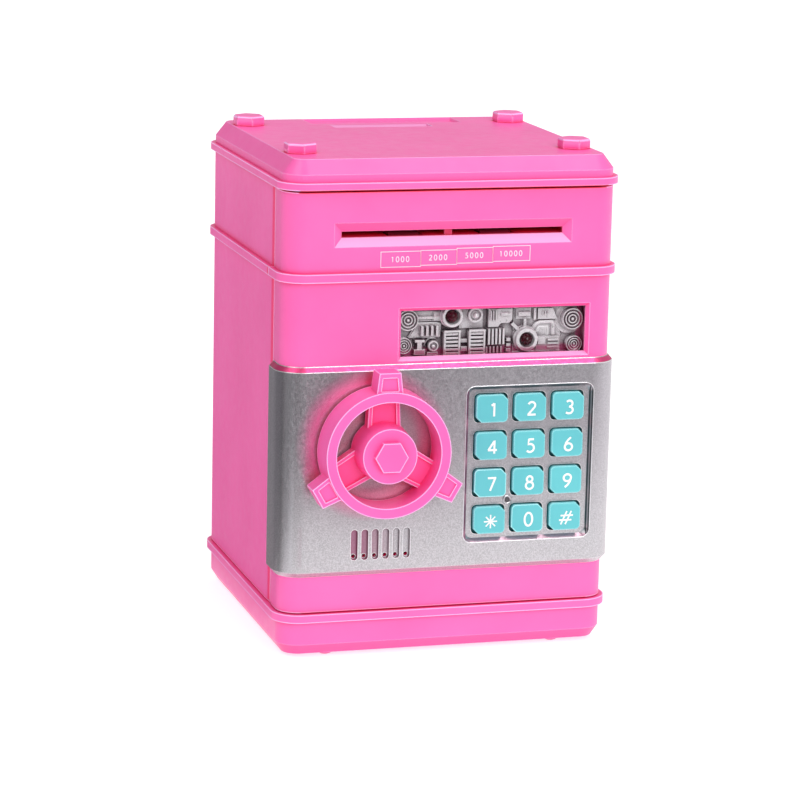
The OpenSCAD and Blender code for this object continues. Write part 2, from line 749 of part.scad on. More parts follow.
module handwheel() {
    color(pink) on_front(wheel_x, wheel_y, wheel_z) difference() {
        union() {
            rotate_extrude($fn = 96)
                polygon([[19.9, 0], [wheel_r + 0.4, 0], [wheel_r, wheel_h], [20.25, wheel_h]]);
            cylinder(r1 = 11.6, r2 = 10.5, h = wheel_h + hub_out);
            translate([0, 0, wheel_h + hub_out]) cylinder(r = 6.4, h = hex_h, $fn = 6);
            for (i = [0 : 2]) rotate(i * 120) difference() {
                spoke();
                translate([0, 0, 7.5]) cylinder(r = 20.2, h = 10);
            }
        }
        translate([0, 0, -1]) cylinder(r = shaft_r, h = 11);
    }
}

module wheel_shaft() {
    color(steel) {
        rod_y(wheel_x, wheel_z, shaft_r, wheel_y - 10, door_y1 + 1);
        rod_y(wheel_x, wheel_z, shaft_end_r, door_y1, bar_y0 + bar_t + 1);
    }
}

module latch_pinion() {
    color("#e9e4da") on_front(wheel_x, bar_y0 + bar_t, wheel_z) difference() {
        linear_extrude(bar_t + 0.4) gear_outline(rack_m, rack_teeth, 0.9, 0.65, 0.85);
        translate([0, 0, -1]) cylinder(r = shaft_end_r, h = 10);
    }
}

module latch_bar() {
    root_z = bar_z0 + 0.85;
    color(steel) difference() {
        union() {
            block([bar_x0, bar_y0, root_z], [bar_x1, bar_y0 + bar_t, bar_z0 + bar_h]);
            for (i = [-4 : 5]) on_front(wheel_x + (i + 0.5) * rack_p, bar_y0 + bar_t, 0) linear_extrude(bar_t)
                polygon([[-0.72, root_z + 0.2], [0.72, root_z + 0.2], [0.45, bar_z0], [0.27, bar_z0 - 0.65],
                         [-0.27, bar_z0 - 0.65], [-0.45, bar_z0]]);
        }
        for (shift = [0, lock_travel])
            rod_y(plunger_x + shift, plunger_z, plunger_r + 0.35, bar_y0 - 1, bar_y0 + bar_t + 1);
    }
}

// Two keepers screwed to the inner cover that the latch bar slides through
module latch_guides() {
    clear = 0.3;
    color("#e9e4da") for (x = [-52, -20]) difference() {
        block([x - 2.5, door_y1, bar_z0 - 1.6], [x + 2.5, bar_y0 + bar_t + 2, bar_z0 + bar_h + 3.4]);
        block([x - 3, bar_y0 - clear, bar_z0 + 0.6], [x + 3, bar_y0 + bar_t + clear, bar_z0 + bar_h + clear]);
        if (x > -30)
            block([x - 3, bar_y0 - clear, bar_z0 - 1.7], [x + 3, bar_y0 + bar_t + clear, bar_z0 + 1]);
    }
}

module lock_solenoid() {
    y1 = cover_y0;
    color("#6f7278") difference() {
        block([plunger_x - 8, y1 - 13, plunger_z - 7], [plunger_x + 8, y1, plunger_z + 7]);
        rod_y(plunger_x, plunger_z, plunger_r + fit, y1 - 12, y1 + 1);
    }
}

module solenoid_plunger() {
    color(steel) rod_y(plunger_x, plunger_z, plunger_r, cover_y0 - 9, bar_y0 - 0.5);
}

// ---------- keypad ----------

module key(col, row) {
    color(teal) on_front(key_x(col), inner_front - 0.2, key_z(row)) {
        difference() {
            linear_extrude(inner_front - 0.2 - panel_y + 0.6) plan(key_w, key_h, 1.8);
            for (s = [-1, 1]) translate([s * key_w / 2, s * key_h / 2, 0.8]) rotate(45)
                translate([-key_cut, -5, 0]) cube([2 * key_cut, 10, 10]);
        }
        linear_extrude(0.8) plan(key_px - 0.8, key_pz - 0.8, 2.4);
    }
}

module key_1() { key(0, 0); }
module key_2() { key(1, 0); }
module key_3() { key(2, 0); }
module key_4() { key(0, 1); }
module key_5() { key(1, 1); }
module key_6() { key(2, 1); }
module key_7() { key(0, 2); }
module key_8() { key(1, 2); }
module key_9() { key(2, 2); }
module key_star() { key(0, 3); }
module key_0() { key(1, 3); }
module key_hash() { key(2, 3); }

// Rubber sheet with a dome behind each key
module keypad_mat() {
    color("#40434a") difference() {
        union() {
            on_front(pad_x, mat_y + 1.4, pad_z) linear_extrude(0.8) plan(pad_w - 2, pad_h - 1, 2);
            for (row = [0 : 3], col = [0 : 2])
                on_front(key_x(col), mat_y + 1.4, key_z(row)) cylinder(r1 = 4, r2 = 3, h = 1.35, $fn = 24);
        }
        rod_y(pad_x - key_px / 2, key_z(2.5), 1.3, mat_y - 1, mat_y + 3);
    }
}

module circuit_board() {
    color("#2c7a4b") on_front(pad_x, board_y, pad_z) linear_extrude(1.6) plan(pad_w, pad_h, 1.5);
}

module board_components() {
    y = board_y;
    color("#22252a") {
        block([pad_x - 6, y, pad_z + 4], [pad_x + 6, y + 2, pad_z + 12]);
        block([pad_x - 20, y, pad_z - 24], [pad_x - 10, y + 5, pad_z - 18]);
        block([pad_x + 8, y, pad_z - 20], [pad_x + 18, y + 6, pad_z - 14]);
        for (x = [-18, -12]) rod_y(pad_x + x, pad_z + 22, 2.5, y, y + 8);
    }
}

// ---------- sound ----------

module speaker() {
    color("#3a3d42") {
        rod_y(slot_x, slot_z, 14, inner_front + 0.5, inner_front + 3.5);
        rod_y(slot_x, slot_z, 8, inner_front + 3.5, inner_front + 7);
    }
}

module speaker_ring() {
    color(pink) difference() {
        rod_y(slot_x, slot_z, 16, inner_front, inner_front + 4.5);
        rod_y(slot_x, slot_z, 14.1, inner_front - 1, inner_front + 6);
    }
}

// ---------- note feed ----------

// Two guide plates that lead a note to the rollers and out through the inner cover
module note_chute() {
    color("#f06ab0") difference() {
        union() {
            for (s = [-1, 1])
                block([-chute_x, note_y, note_z + s * 1.7 - 0.6],
                      [chute_x, cover_y0, note_z + s * 1.7 + 0.6]);
            for (x = [-chute_x - chute_wall, chute_x])
                block([x, note_y, note_z - 2.3], [x + chute_wall, cover_y0, note_z + 2.3]);
        }
        for (x = [-18, 18]) block([x - 7, roller_y - 5, note_z - 4], [x + 7, roller_y + 5.5, note_z + 4]);
    }
}

// Four plates beside the chute, two below it for the drive shaft and two above it for the pinch shaft
module roller_brackets() {
    spine = bracket_x + bracket_t / 2;
    color(steel) difference() {
        for (s = [-1, 1]) block([s * spine - bracket_t / 2, note_y, drive_z - 5],
                                [s * spine + bracket_t / 2, cover_y0, pinch_z + 5]);
        rod_x(roller_y, drive_z, feed_shaft_r + fit, -60, 60);
        rod_x(roller_y, pinch_z, feed_shaft_r + fit, -60, 60);
        block([-60, note_y - 1, note_z - 2.35], [60, seam_y, note_z + 2.35]);
    }
}

module feed_motor() {
    motor_x = gear_x + 1;
    color(steel) difference() {
        union() {
            intersection() {
                rod_x(roller_y, motor_z, motor_r, motor_x, motor_x + motor_len);
                block([motor_x - 1, roller_y - motor_flat, motor_z - 11],
                      [motor_x + motor_len + 1, roller_y + motor_flat, motor_z + 11]);
            }
            rod_x(roller_y, motor_z, 3, motor_x - 0.7, motor_x);
        }
        rod_x(roller_y, motor_z, 1 + fit, motor_x - 2, motor_x + motor_len - 2);
    }
}

module motor_pinion() {
    color("#d8b25a") translate([gear_x - gear_t, roller_y, motor_z]) rotate([90, 0, 90])
        linear_extrude(gear_t) gear_outline(gear_m, pinion_teeth, 0.55, 0.4, 0.6);
    color(steel) rod_x(roller_y, motor_z, 1, gear_x, gear_x + motor_len - 3);
}

module roller_gear() {
    color("#f4f4f0") translate([gear_x - gear_t, roller_y, drive_z]) rotate([90, 0, 90]) difference() {
        linear_extrude(gear_t) rotate(180 / gear_teeth)
            gear_outline(gear_m, gear_teeth, 0.55, 0.4, 0.6);
        translate([0, 0, -1]) cylinder(r = feed_shaft_r, h = 10);
    }
}

module roller_shaft() {
    color(steel) rod_x(roller_y, drive_z, feed_shaft_r, gear_x - gear_t, bracket_x + bracket_t + 1);
}

module drive_rollers() {
    color("#2b2b2e") for (x = [-18, 18]) difference() {
        rod_x(roller_y, drive_z, drive_r, x - 6, x + 6);
        rod_x(roller_y, drive_z, feed_shaft_r, x - 7, x + 7);
    }
}

module pinch_shaft() {
    reach = bracket_x + bracket_t + 1;
    color(steel) rod_x(roller_y, pinch_z, feed_shaft_r, -reach, reach);
}

module pinch_rollers() {
    color("#2b2b2e") for (x = [-18, 18]) difference() {
        rod_x(roller_y, pinch_z, pinch_r, x - 6, x + 6);
        rod_x(roller_y, pinch_z, feed_shaft_r, x - 7, x + 7);
    }
}

module note_sensor() {
    color("#22252a") block([3, note_y, note_z - 6.3], [9, note_y + 3.5, note_z - 2.3]);
}

module door_wire() {
    color("#c8323c") cable([[hinge_x, hinge_y, door_z0 + 4.7], [hinge_x, hinge_y, door_z0 + 12],
                            [44, hinge_y, door_z0 + 22], [44, hinge_y, pad_z - 20.1]], 1.1);
}

// ---------- one line per node ----------

base_tray();
cavity_floor();
feet();
battery_cover();
battery_screw();
batteries();
battery_contacts();
base_screws();
body_shell();
strike_plate();
lid();
lid_bolts();
lid_screws();
hinge_pins();
battery_wire();
door_front();
silver_panel();
door_inner_cover();
cover_screws();
window_lens();
mechanism_panel();
window_leds();
status_led();
shaft_bushing();
handwheel();
wheel_shaft();
latch_pinion();
latch_bar();
latch_guides();
lock_solenoid();
solenoid_plunger();
keypad_mat();
circuit_board();
board_components();
speaker();
speaker_ring();
note_chute();
roller_brackets();
feed_motor();
motor_pinion();
roller_gear();
roller_shaft();
drive_rollers();
pinch_shaft();
pinch_rollers();
note_sensor();
door_wire();
key_1();
key_2();
key_3();
key_4();
key_5();
key_6();
key_7();
key_8();
key_9();
key_star();
key_0();
key_hash();
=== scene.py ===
"""Looks of the toy safe coin bank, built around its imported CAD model.

Lengths are in metres. +Z is up and the door faces -Y. Small sizes are written in
millimetres and turned into metres with mm().
"""

import json
import math

import bmesh
import bpy
from mathutils import Matrix, Vector


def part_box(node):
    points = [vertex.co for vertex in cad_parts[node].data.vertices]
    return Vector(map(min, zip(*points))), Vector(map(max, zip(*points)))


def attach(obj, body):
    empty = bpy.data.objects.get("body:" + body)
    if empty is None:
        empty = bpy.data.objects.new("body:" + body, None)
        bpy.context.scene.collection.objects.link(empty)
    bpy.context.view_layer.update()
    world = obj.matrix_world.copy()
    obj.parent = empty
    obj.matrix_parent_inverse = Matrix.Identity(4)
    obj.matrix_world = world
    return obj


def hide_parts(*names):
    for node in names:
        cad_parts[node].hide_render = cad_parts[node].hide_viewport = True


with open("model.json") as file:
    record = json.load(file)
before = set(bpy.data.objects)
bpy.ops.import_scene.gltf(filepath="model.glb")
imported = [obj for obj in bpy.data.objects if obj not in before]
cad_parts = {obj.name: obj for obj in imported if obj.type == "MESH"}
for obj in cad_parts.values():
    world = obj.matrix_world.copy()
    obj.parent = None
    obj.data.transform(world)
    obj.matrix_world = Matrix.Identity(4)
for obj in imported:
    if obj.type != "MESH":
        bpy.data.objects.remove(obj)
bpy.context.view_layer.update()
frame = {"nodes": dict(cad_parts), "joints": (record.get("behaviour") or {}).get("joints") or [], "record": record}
nodes = frame["nodes"]
record = frame["record"]
scene = bpy.context.scene


def mm(*values):
    """Millimetres to metres: one number, or a Vector of three."""
    scaled = [v / 1000 for v in values]
    return scaled[0] if len(scaled) == 1 else Vector(scaled)


# ---------- places taken from the frame ----------

lid_low, lid_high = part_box("lid")
door_low, door_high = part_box("door_front")
panel_low, panel_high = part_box("silver_panel")
lens_low, lens_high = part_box("window_lens")
cover_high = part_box("door_inner_cover")[1]
PANEL_OUT = mm(2)
PANEL_FACE = panel_low.y
DOOR_FACE = PANEL_FACE + PANEL_OUT
SEAM_Y = door_high.y
joint_of = {j["name"]: j for j in frame["joints"]}
WHEEL = Vector(joint_of["wheel_turn"]["pos_m"])
KEYS = ["1", "2", "3", "4", "5", "6", "7", "8", "9", "star", "0", "hash"]


# ---------- materials ----------

OCCLUSION_RAYS = 6


class Shader:
    """A material under construction: its nodes, its Principled shader and short ways to add to them."""

    def __init__(self, name, roughness, metallic=0.0):
        self.material = bpy.data.materials.new(name)
        self.material.use_nodes = True
        self.tree = self.material.node_tree
        self.principled = self.tree.nodes["Principled BSDF"]
        self.principled.inputs["Roughness"].default_value = roughness
        self.principled.inputs["Metallic"].default_value = metallic
        self.texture = self.node("ShaderNodeTexCoord")
        self.place = self.texture.outputs["Object"]
        self.height = None

    def node(self, kind, **settings):
        made = self.tree.nodes.new(kind)
        for key, value in settings.items():
            setattr(made, key, value)
        return made

    def link(self, source, target):
        self.tree.links.new(source, target)

    def noise(self, size, detail=3.0, stretch=(1, 1, 1)):
        """Noise whose features are about size metres wide; stretch widens it along each axis."""
        mapping = self.node("ShaderNodeMapping")
        mapping.inputs["Scale"].default_value = [1 / (size * s) for s in stretch]
        self.link(self.place, mapping.inputs["Vector"])
        noise = self.node("ShaderNodeTexNoise")
        noise.inputs["Scale"].default_value = 1.0
        noise.inputs["Detail"].default_value = detail
        self.link(mapping.outputs["Vector"], noise.inputs["Vector"])
        return noise.outputs["Fac"]

    def ramp(self, source, low, high, start=0.3, end=0.7):
        """A colour between low and high as source goes from start to end."""
        ramp = self.node("ShaderNodeValToRGB")
        first, last = ramp.color_ramp.elements
        first.position, last.position = start, end
        first.color, last.color = (*low, 1), (*high, 1)
        self.link(source, ramp.inputs["Fac"])
        return ramp.outputs["Color"]

    def span(self, source, low, high, start=0.3, end=0.7):
        """A number between low and high as source goes from start to end."""
        span = self.node("ShaderNodeMapRange")
        for key, value in (("From Min", start), ("From Max", end), ("To Min", low), ("To Max", high)):
            span.inputs[key].default_value = value
        self.link(source, span.inputs["Value"])
        return span.outputs["Result"]

    def edges(self, reach, full, none):
        """1 on outer edges, 0 farther than reach from one. A larger full also picks out blunt edges."""
        hidden = self.node("ShaderNodeAmbientOcclusion", samples=OCCLUSION_RAYS, inside=True, only_local=True)
        hidden.inputs["Distance"].default_value = reach
        return self.span(hidden.outputs["AO"], 1.0, 0.0, full, none)

    def creases(self, reach, alone=False, full=0.35, none=0.9):
        """1 deep in a corner or a gap, 0 in the open; alone leaves out what other objects hide."""
        hidden = self.node("ShaderNodeAmbientOcclusion", samples=OCCLUSION_RAYS, only_local=alone)
        hidden.inputs["Distance"].default_value = reach
        return self.span(hidden.outputs["AO"], 1.0, 0.0, full, none)

    def along(self, output, axis):
        """One component of the place in the shared frame, or of the surface's normal."""
        split = self.node("ShaderNodeSeparateXYZ")
        self.link(self.texture.outputs[output], split.inputs["Vector"])
        return split.outputs[axis]

    def band(self, axis, low, high, fade):
        """1 between low and high along one axis of the shared frame, fading to 0 over fade metres."""
        place = self.along("Object", axis)
        return self.product(self.span(place, 0.0, 1.0, low - fade, low),
                            self.span(place, 1.0, 0.0, high, high + fade))

    def zone(self, bands, amount):
        """That amount inside every one of the bands, 0 outside."""
        mask = amount
        for band in bands:
            mask = self.product(self.band(*band), mask)
        return mask

    def around(self, x, z, near, far, inside=1.0, outside=0.0):
        """From inside to outside as the distance from a front to back axis at x, z goes from near to far."""
        flat = self.node("ShaderNodeMapping")
        flat.inputs["Scale"].default_value = (1, 0, 1)
        self.link(self.place, flat.inputs["Vector"])
        gap = self.node("ShaderNodeVectorMath", operation="DISTANCE")
        gap.inputs[1].default_value = (x, 0, z)
        self.link(flat.outputs["Vector"], gap.inputs[0])
        return self.span(gap.outputs["Value"], inside, outside, near, far)

    def product(self, one, two):
        product = self.node("ShaderNodeMath", operation="MULTIPLY")
        self.link(one, product.inputs[0])
        if isinstance(two, (int, float)):
            product.inputs[1].default_value = two
        else:
            self.link(two, product.inputs[1])
        return product.outputs[0]

    def tint(self, base, mask, colour):
        """The base colour, with that colour laid over it where mask is 1."""
        mix = self.node("ShaderNodeMixRGB")
        self.link(mask, mix.inputs["Fac"])
        self.link(base, mix.inputs["Color1"])
        mix.inputs["Color2"].default_value = (*colour, 1)
        return mix.outputs["Color"]

    def colour(self, source):
        self.link(source, self.principled.inputs["Base Color"])

    def rough(self, source):
        self.link(source, self.principled.inputs["Roughness"])

    def bump(self, source, depth, strength):
        """Adds a bump of depth metres on top of those already there."""
        bump = self.node("ShaderNodeBump")
        bump.inputs["Strength"].default_value = strength
        bump.inputs["Distance"].default_value = depth
        self.link(source, bump.inputs["Height"])
        if self.height is not None:
            self.link(self.height, bump.inputs["Normal"])
        self.height = bump.outputs["Normal"]
        self.link(self.height, self.principled.inputs["Normal"])


def moulded(name, low, high, roughness, grain=mm(0.45), depth=mm(0.012), edge_highlight=None, crease_shade=None,
            crease_reach=mm(2.2), zones=(), faced=(), inner=()):
    """Moulded plastic: slow colour drift, uneven sheen, faint sink marks and a fine spark-eroded grain,
    with painted shade in creases and a painted highlight on outer edges where those colours are given.

    zones lists (colour, amount, bands). faced lists (colour, amount, bands, start, end): a zone
    that shows only where the normal's Z goes from start to end, used for painted light and shade by
    which way a face turns. inner lists zones laid over the edges too."""
    drift, sheen, sink = mm(30), mm(4), mm(20)
    uneven = 0.05
    shader = Shader(name, roughness)
    base = shader.ramp(shader.noise(drift), low, high)
    # Painted shade: creases and gaps take the crease colour
    if crease_shade:
        base = shader.tint(base, shader.creases(crease_reach), crease_shade)
    for colour, amount, bands in zones:
        base = shader.tint(base, shader.zone(bands, amount), colour)
    for colour, amount, bands, start, end in faced:
        facing = shader.span(shader.along("Normal", "Z"), 0.0, amount, start, end)
        base = shader.tint(base, shader.zone(bands, facing), colour)
    # Painted highlight: outer edges take the edge colour
    if edge_highlight:
        base = shader.tint(base, shader.edges(mm(0.5), full=0.74, none=0.95), edge_highlight)
    for colour, amount, bands in inner:
        base = shader.tint(base, shader.zone(bands, amount), colour)
    shader.colour(base)
    shader.rough(shader.span(shader.noise(sheen), roughness - uneven, roughness + uneven))
    shader.bump(shader.noise(sink, detail=1.0), depth=mm(0.12), strength=0.35)
    shader.bump(shader.noise(grain, detail=2.0), depth=depth, strength=0.6)
    return shader


def silver_paint(name, low, high, roughness, metallic, crease_shade, zones, crease_reach=mm(1.4), wheel_reflection=None,
                 alone=False):
    """Sprayed silver: fine metallic flakes that vary in tone and tilt. Creases get painted shade in the crease
    colour, zones lists (colour, amount, bands) of painted reflections and shade, a round part's painted
    reflection around it is given as (colour, amount, x, z, hole, near, far), and outer edges get a painted
    highlight."""
    flake, patch, tilt = mm(0.4), mm(1.2), mm(0.5)
    # A painted highlight colour for outer edges
    painted_edge_highlight = (0.97, 0.96, 0.98)
    shader = Shader(name, roughness, metallic)
    base = shader.ramp(shader.noise(flake, detail=4.0), low, high, start=0.35, end=0.65)
    # Painted shade in creases
    base = shader.tint(base, shader.creases(crease_reach, alone), crease_shade)
    for colour, amount, bands in zones:
        base = shader.tint(base, shader.zone(bands, amount), colour)
    # Painted reflection of a round part around it
    if wheel_reflection:
        colour, amount, x, z, hole, near, far = wheel_reflection
        reflection_mask = shader.product(shader.around(x, z, near, far),
                              shader.around(x, z, hole, near, inside=0.25, outside=1.0))
        base = shader.tint(base, shader.product(reflection_mask, amount), colour)
    shader.colour(shader.tint(base, shader.edges(mm(0.3), full=0.76, none=0.94), painted_edge_highlight))
    shader.rough(shader.span(shader.noise(patch), roughness - 0.06, roughness + 0.08))
    shader.bump(shader.noise(tilt), depth=mm(0.03), strength=0.5)
    return shader


def metal(name, low, high, roughness, stretch=(1, 1, 1)):
    """Plain metal with drawn or rolled streaks."""
    streak, sheen, scratch = mm(1.5), mm(0.8), mm(0.6)
    uneven = 0.08
    shader = Shader(name, roughness, metallic=1.0)
    shader.colour(shader.ramp(shader.noise(streak, stretch=stretch), low, high))
    shader.rough(shader.span(shader.noise(sheen, stretch=stretch), roughness - uneven, roughness + uneven))
    shader.bump(shader.noise(scratch, 2.0, stretch), depth=mm(0.01), strength=0.5)
    return shader


def clear_window():
    """Clear polished plastic: almost see-through, with its sheen kept."""
    wipe, wave = mm(6), mm(12)
    shader = Shader("clear_window", roughness=0.04)
    shader.principled.inputs["Base Color"].default_value = (0.02, 0.02, 0.025, 1)
    shader.principled.inputs["Alpha"].default_value = 0.06
    shader.principled.inputs["Specular IOR Level"].default_value = 0.25
    shader.rough(shader.span(shader.noise(wipe), 0.02, 0.07))
    shader.bump(shader.noise(wave, detail=1.0), depth=mm(0.02), strength=0.3)
    return shader


def tinted_dome(name, low, high):
    """Translucent LED plastic."""
    shader = moulded(name, low, high, roughness=0.12, depth=mm(0.002))
    shader.principled.inputs["Transmission Weight"].default_value = 0.1
    shader.principled.inputs["Specular IOR Level"].default_value = 0.2
    shader.principled.inputs["Coat Weight"].default_value = 0.3
    return shader


def circuit_green():
    """Solder mask with faint tracks under it."""
    shader = Shader("circuit_green", roughness=0.35)
    tracks = shader.node("ShaderNodeTexWave", wave_type="BANDS", bands_direction="DIAGONAL")
    tracks.inputs["Scale"].default_value = 180
    tracks.inputs["Distortion"].default_value = 6
    shader.link(shader.place, tracks.inputs["Vector"])
    shader.colour(shader.ramp(tracks.outputs["Fac"], (0.012, 0.09, 0.035), (0.03, 0.2, 0.08), 0.45, 0.55))
    shader.bump(tracks.outputs["Fac"], depth=mm(0.03), strength=0.5)
    return shader


PINK_LOW, PINK_HIGH = (0.96, 0.126, 0.435), (1.0, 0.145, 0.472)
# Painted highlight colour for edges, and painted shade colour for creases, seams and gaps
PINK_EDGE_HIGHLIGHT, PINK_DEEP_SHADE = (1.0, 0.5, 0.86), (0.95, 0.03, 0.17)
# Painted highlight colour for up-facing sills and the coin slot's far wall, and painted shade colour for faces
# turned down
PINK_LIT, PINK_SHADE = (1.0, 0.42, 0.76), (1.0, 0.075, 0.3)
# Painted dark red shade for the line under the lid, the note chute and the note slot
WINE_SHADE, SLOT_RED_SHADE = (0.9, 0.01, 0.06), (0.62, 0.012, 0.075)
# Painted reflection colours for the silver paint
PAINTED_PINK_REFLECTION, PAINTED_DARK_REFLECTION = (0.62, 0.1, 0.27), (0.04, 0.045, 0.05)

# A band is (axis, low, high, fade), and a zone is a list of bands
FADE, SHARP = mm(0.2), mm(0.06)
SLOT_Z = mm(162.6)
EVERYWHERE = [("Z", -1, 1, 1)]
SLOT_WIDE = ("X", -mm(47), mm(47), FADE)
DOOR_WIDE = ("X", -mm(57), mm(57), FADE)
DOOR_DEEP = ("Y", DOOR_FACE - mm(0.5), SEAM_Y + mm(8), FADE)

# The sloped lower edges of the note slot and of the window, which get a painted highlight where they face up, and
# the slot's inside walls, which get dark red painted shade
SLOT_SILL = [("Z", SLOT_Z - mm(4.6), SLOT_Z - mm(1.1), FADE),
             ("Y", DOOR_FACE + mm(0.1), DOOR_FACE + mm(2.3), mm(0.1))]
WINDOW_SILL = [("Z", mm(114), mm(116.2), FADE), ("Y", DOOR_FACE + mm(0.1), DOOR_FACE + mm(1.5), mm(0.1))]
SLOT_INSIDE = [SLOT_WIDE, ("Z", SLOT_Z - mm(1.15), SLOT_Z + mm(1.15), FADE),
               ("Y", DOOR_FACE + mm(2.2), 0, FADE)]
# The door's surroundings, darkened with painted shade: the seam behind it, its top and foot, and the line under
# the lid's front
SEAM = [("Z", door_low.z, door_high.z, FADE), ("Y", SEAM_Y - mm(0.1), SEAM_Y + mm(2.4), mm(0.5))]
DOOR_TOP = [DOOR_WIDE, ("Z", door_high.z - mm(0.1), door_high.z + mm(0.8), FADE), DOOR_DEEP]
DOOR_FOOT = [DOOR_WIDE, ("Z", door_low.z - mm(0.9), door_low.z + mm(0.05), FADE), DOOR_DEEP]
LID_LINE = [("X", -mm(60), mm(60), FADE), ("Z", door_high.z - mm(0.26), lid_low.z + mm(0.2), SHARP),
            ("Y", DOOR_FACE - mm(2), DOOR_FACE + mm(2.4), FADE)]
# The lid's upright wall above its rim, and the sloped far edge of the coin slot, which gets a painted highlight
LID_WALL = [("Z", lid_low.z + mm(3), lid_low.z + mm(5.6), FADE)]
COIN_WALL = [("X", -mm(22.2), mm(19), FADE), ("Y", mm(39), mm(48), FADE),
             ("Z", lid_high.z - mm(2.6), lid_high.z - mm(0.15), SHARP)]
# The walls of the note chute inside the door, which get dark red painted shade
CHUTE_INSIDE = [SLOT_WIDE, ("Z", SLOT_Z - mm(2.4), SLOT_Z + mm(2.4), FADE),
                ("Y", DOOR_FACE, cover_high.y - mm(2.2), FADE)]

# The keypad's recess in the silver panel, whose walls slope in over SLOPE. SUNK is below the panel's face
PAD_X, PAD_Z = (mm(5.75), mm(56.85)), (mm(42.95), mm(103.95))
SLOPE = mm(1.3)
PAD_WIDE, PAD_TALL = ("X", *PAD_X, FADE), ("Z", *PAD_Z, FADE)
SUNK = ("Y", PANEL_FACE + mm(0.15), PANEL_FACE + mm(2.5), mm(0.08))
# Painted reflections and painted shade in the silver panel's paint, as (colour, amount, bands)
PANEL_PAINTED_REFLECTIONS = [
    # Painted reflection of the darker room above
    ((0.3, 0.25, 0.31), 0.3, [("Z", mm(88), 1, mm(45))]),
    # Painted reflections: a dark and a bright upright line where the panel turns its left corner
    ((0.07, 0.07, 0.09), 0.34, [("X", mm(-66.4), mm(-65), mm(0.7))]),
    ((0.8, 0.79, 0.85), 0.25, [("X", mm(-63.6), mm(-61.4), mm(0.8))]),
    # Painted reflection of the pink door in the panel's top edge, and a painted highlight line under it
    ((0.86, 0.055, 0.24), 0.93, [("Z", panel_high.z - mm(1.75), panel_high.z - mm(0.35), mm(0.15))]),
    ((0.97, 0.95, 0.97), 0.9, [("Z", panel_high.z - mm(2.1), panel_high.z - mm(1.95), mm(0.08))]),
    # Painted reflections on the keypad's walls: the wheel on the left, the base below, the dark room on the right
    # and above
    (PAINTED_PINK_REFLECTION, 0.6, [("X", PAD_X[0], PAD_X[0] + SLOPE, FADE), PAD_TALL, SUNK]),
    (PAINTED_PINK_REFLECTION, 0.35, [("Z", PAD_Z[0], PAD_Z[0] + SLOPE, FADE), PAD_WIDE, SUNK]),
    (PAINTED_DARK_REFLECTION, 0.9, [("X", PAD_X[1] - SLOPE, PAD_X[1], FADE), PAD_TALL, SUNK]),
    ((0.5, 0.44, 0.48), 0.8, [("X", PAD_X[1] - mm(0.85), PAD_X[1] - mm(0.6), mm(0.1)), PAD_TALL, SUNK]),
    (PAINTED_DARK_REFLECTION, 0.5, [("Z", PAD_Z[1] - SLOPE, PAD_Z[1] - mm(0.3), FADE), PAD_WIDE, SUNK]),
    # Painted shade with a pink reflection in the sound grooves, pinker to the left
    ((0.34, 0.07, 0.17), 0.75, [("X", mm(-46), mm(-34), mm(14)), ("Z", mm(37), mm(52), FADE), SUNK]),
]
# Painted pink reflection of the handwheel on the panel: colour, amount, middle x and z, and the radii hole, near
# and far
WHEEL_PAINTED_REFLECTION = ((1.0, 0.2, 0.5), 0.62, WHEEL.x - mm(2.6), WHEEL.z + mm(1.6), mm(17), mm(23.5), mm(30))
# Painted pink reflections of the window edges in the relief behind the window
RELIEF_PAINTED_REFLECTIONS = [
    (PAINTED_PINK_REFLECTION, 0.75, [("X", lens_high.x - mm(2.8), lens_high.x, mm(0.8))]),
    (PAINTED_PINK_REFLECTION, 0.75, [("Z", lens_low.z, lens_low.z + mm(2.6), mm(1.2))]),
]


def pink_shell():
    """The pink casing, with painted light: painted highlights on edges, sills and the coin slot's far wall,
    painted shade in creases, seams and gaps and on faces turned down, and dark red painted shade inside the note
    slot.
    """
    return moulded("pink_shell", PINK_LOW, PINK_HIGH, roughness=0.36, grain=mm(0.6), depth=mm(0.04),
                   edge_highlight=PINK_EDGE_HIGHLIGHT, crease_shade=PINK_DEEP_SHADE,
                   zones=[(PINK_DEEP_SHADE, 0.9, SEAM), (PINK_HIGH, 0.9, LID_WALL)],
                   faced=[(PINK_LIT, 0.9, SLOT_SILL, 0.2, 0.45), (PINK_LIT, 0.6, WINDOW_SILL, 0.2, 0.45),
                          (PINK_SHADE, 0.8, EVERYWHERE, -0.25, -0.5)],
                   inner=[(PINK_DEEP_SHADE, 0.55, DOOR_TOP), (WINE_SHADE, 0.9, LID_LINE), (PINK_LIT, 0.7, COIN_WALL),
                          (PINK_DEEP_SHADE, 0.8, DOOR_FOOT), (SLOT_RED_SHADE, 0.92, SLOT_INSIDE)])


def wheel_pink():
    """The handwheel's pink, with painted shade deeper where its spokes and hub shade each other, and a painted
    highlight on its edges.
    """
    shader = moulded("wheel_pink", PINK_LOW, PINK_HIGH, roughness=0.4, edge_highlight=PINK_EDGE_HIGHLIGHT,
                     crease_shade=(1.0, 0.07, 0.29), crease_reach=mm(9))
    shader.principled.inputs["Specular IOR Level"].default_value = 0.25
    return shader


def panel_silver():
    """The silver panel's paint, with painted reflections of what it mirrors as the camera sees it, painted shade
    in its creases and a painted highlight on its edges.
    """
    return silver_paint("silver_paint", (0.44, 0.425, 0.445), (0.65, 0.63, 0.66), roughness=0.34,
                        metallic=0.85, crease_shade=(0.26, 0.23, 0.26), zones=PANEL_PAINTED_REFLECTIONS, wheel_reflection=WHEEL_PAINTED_REFLECTION)


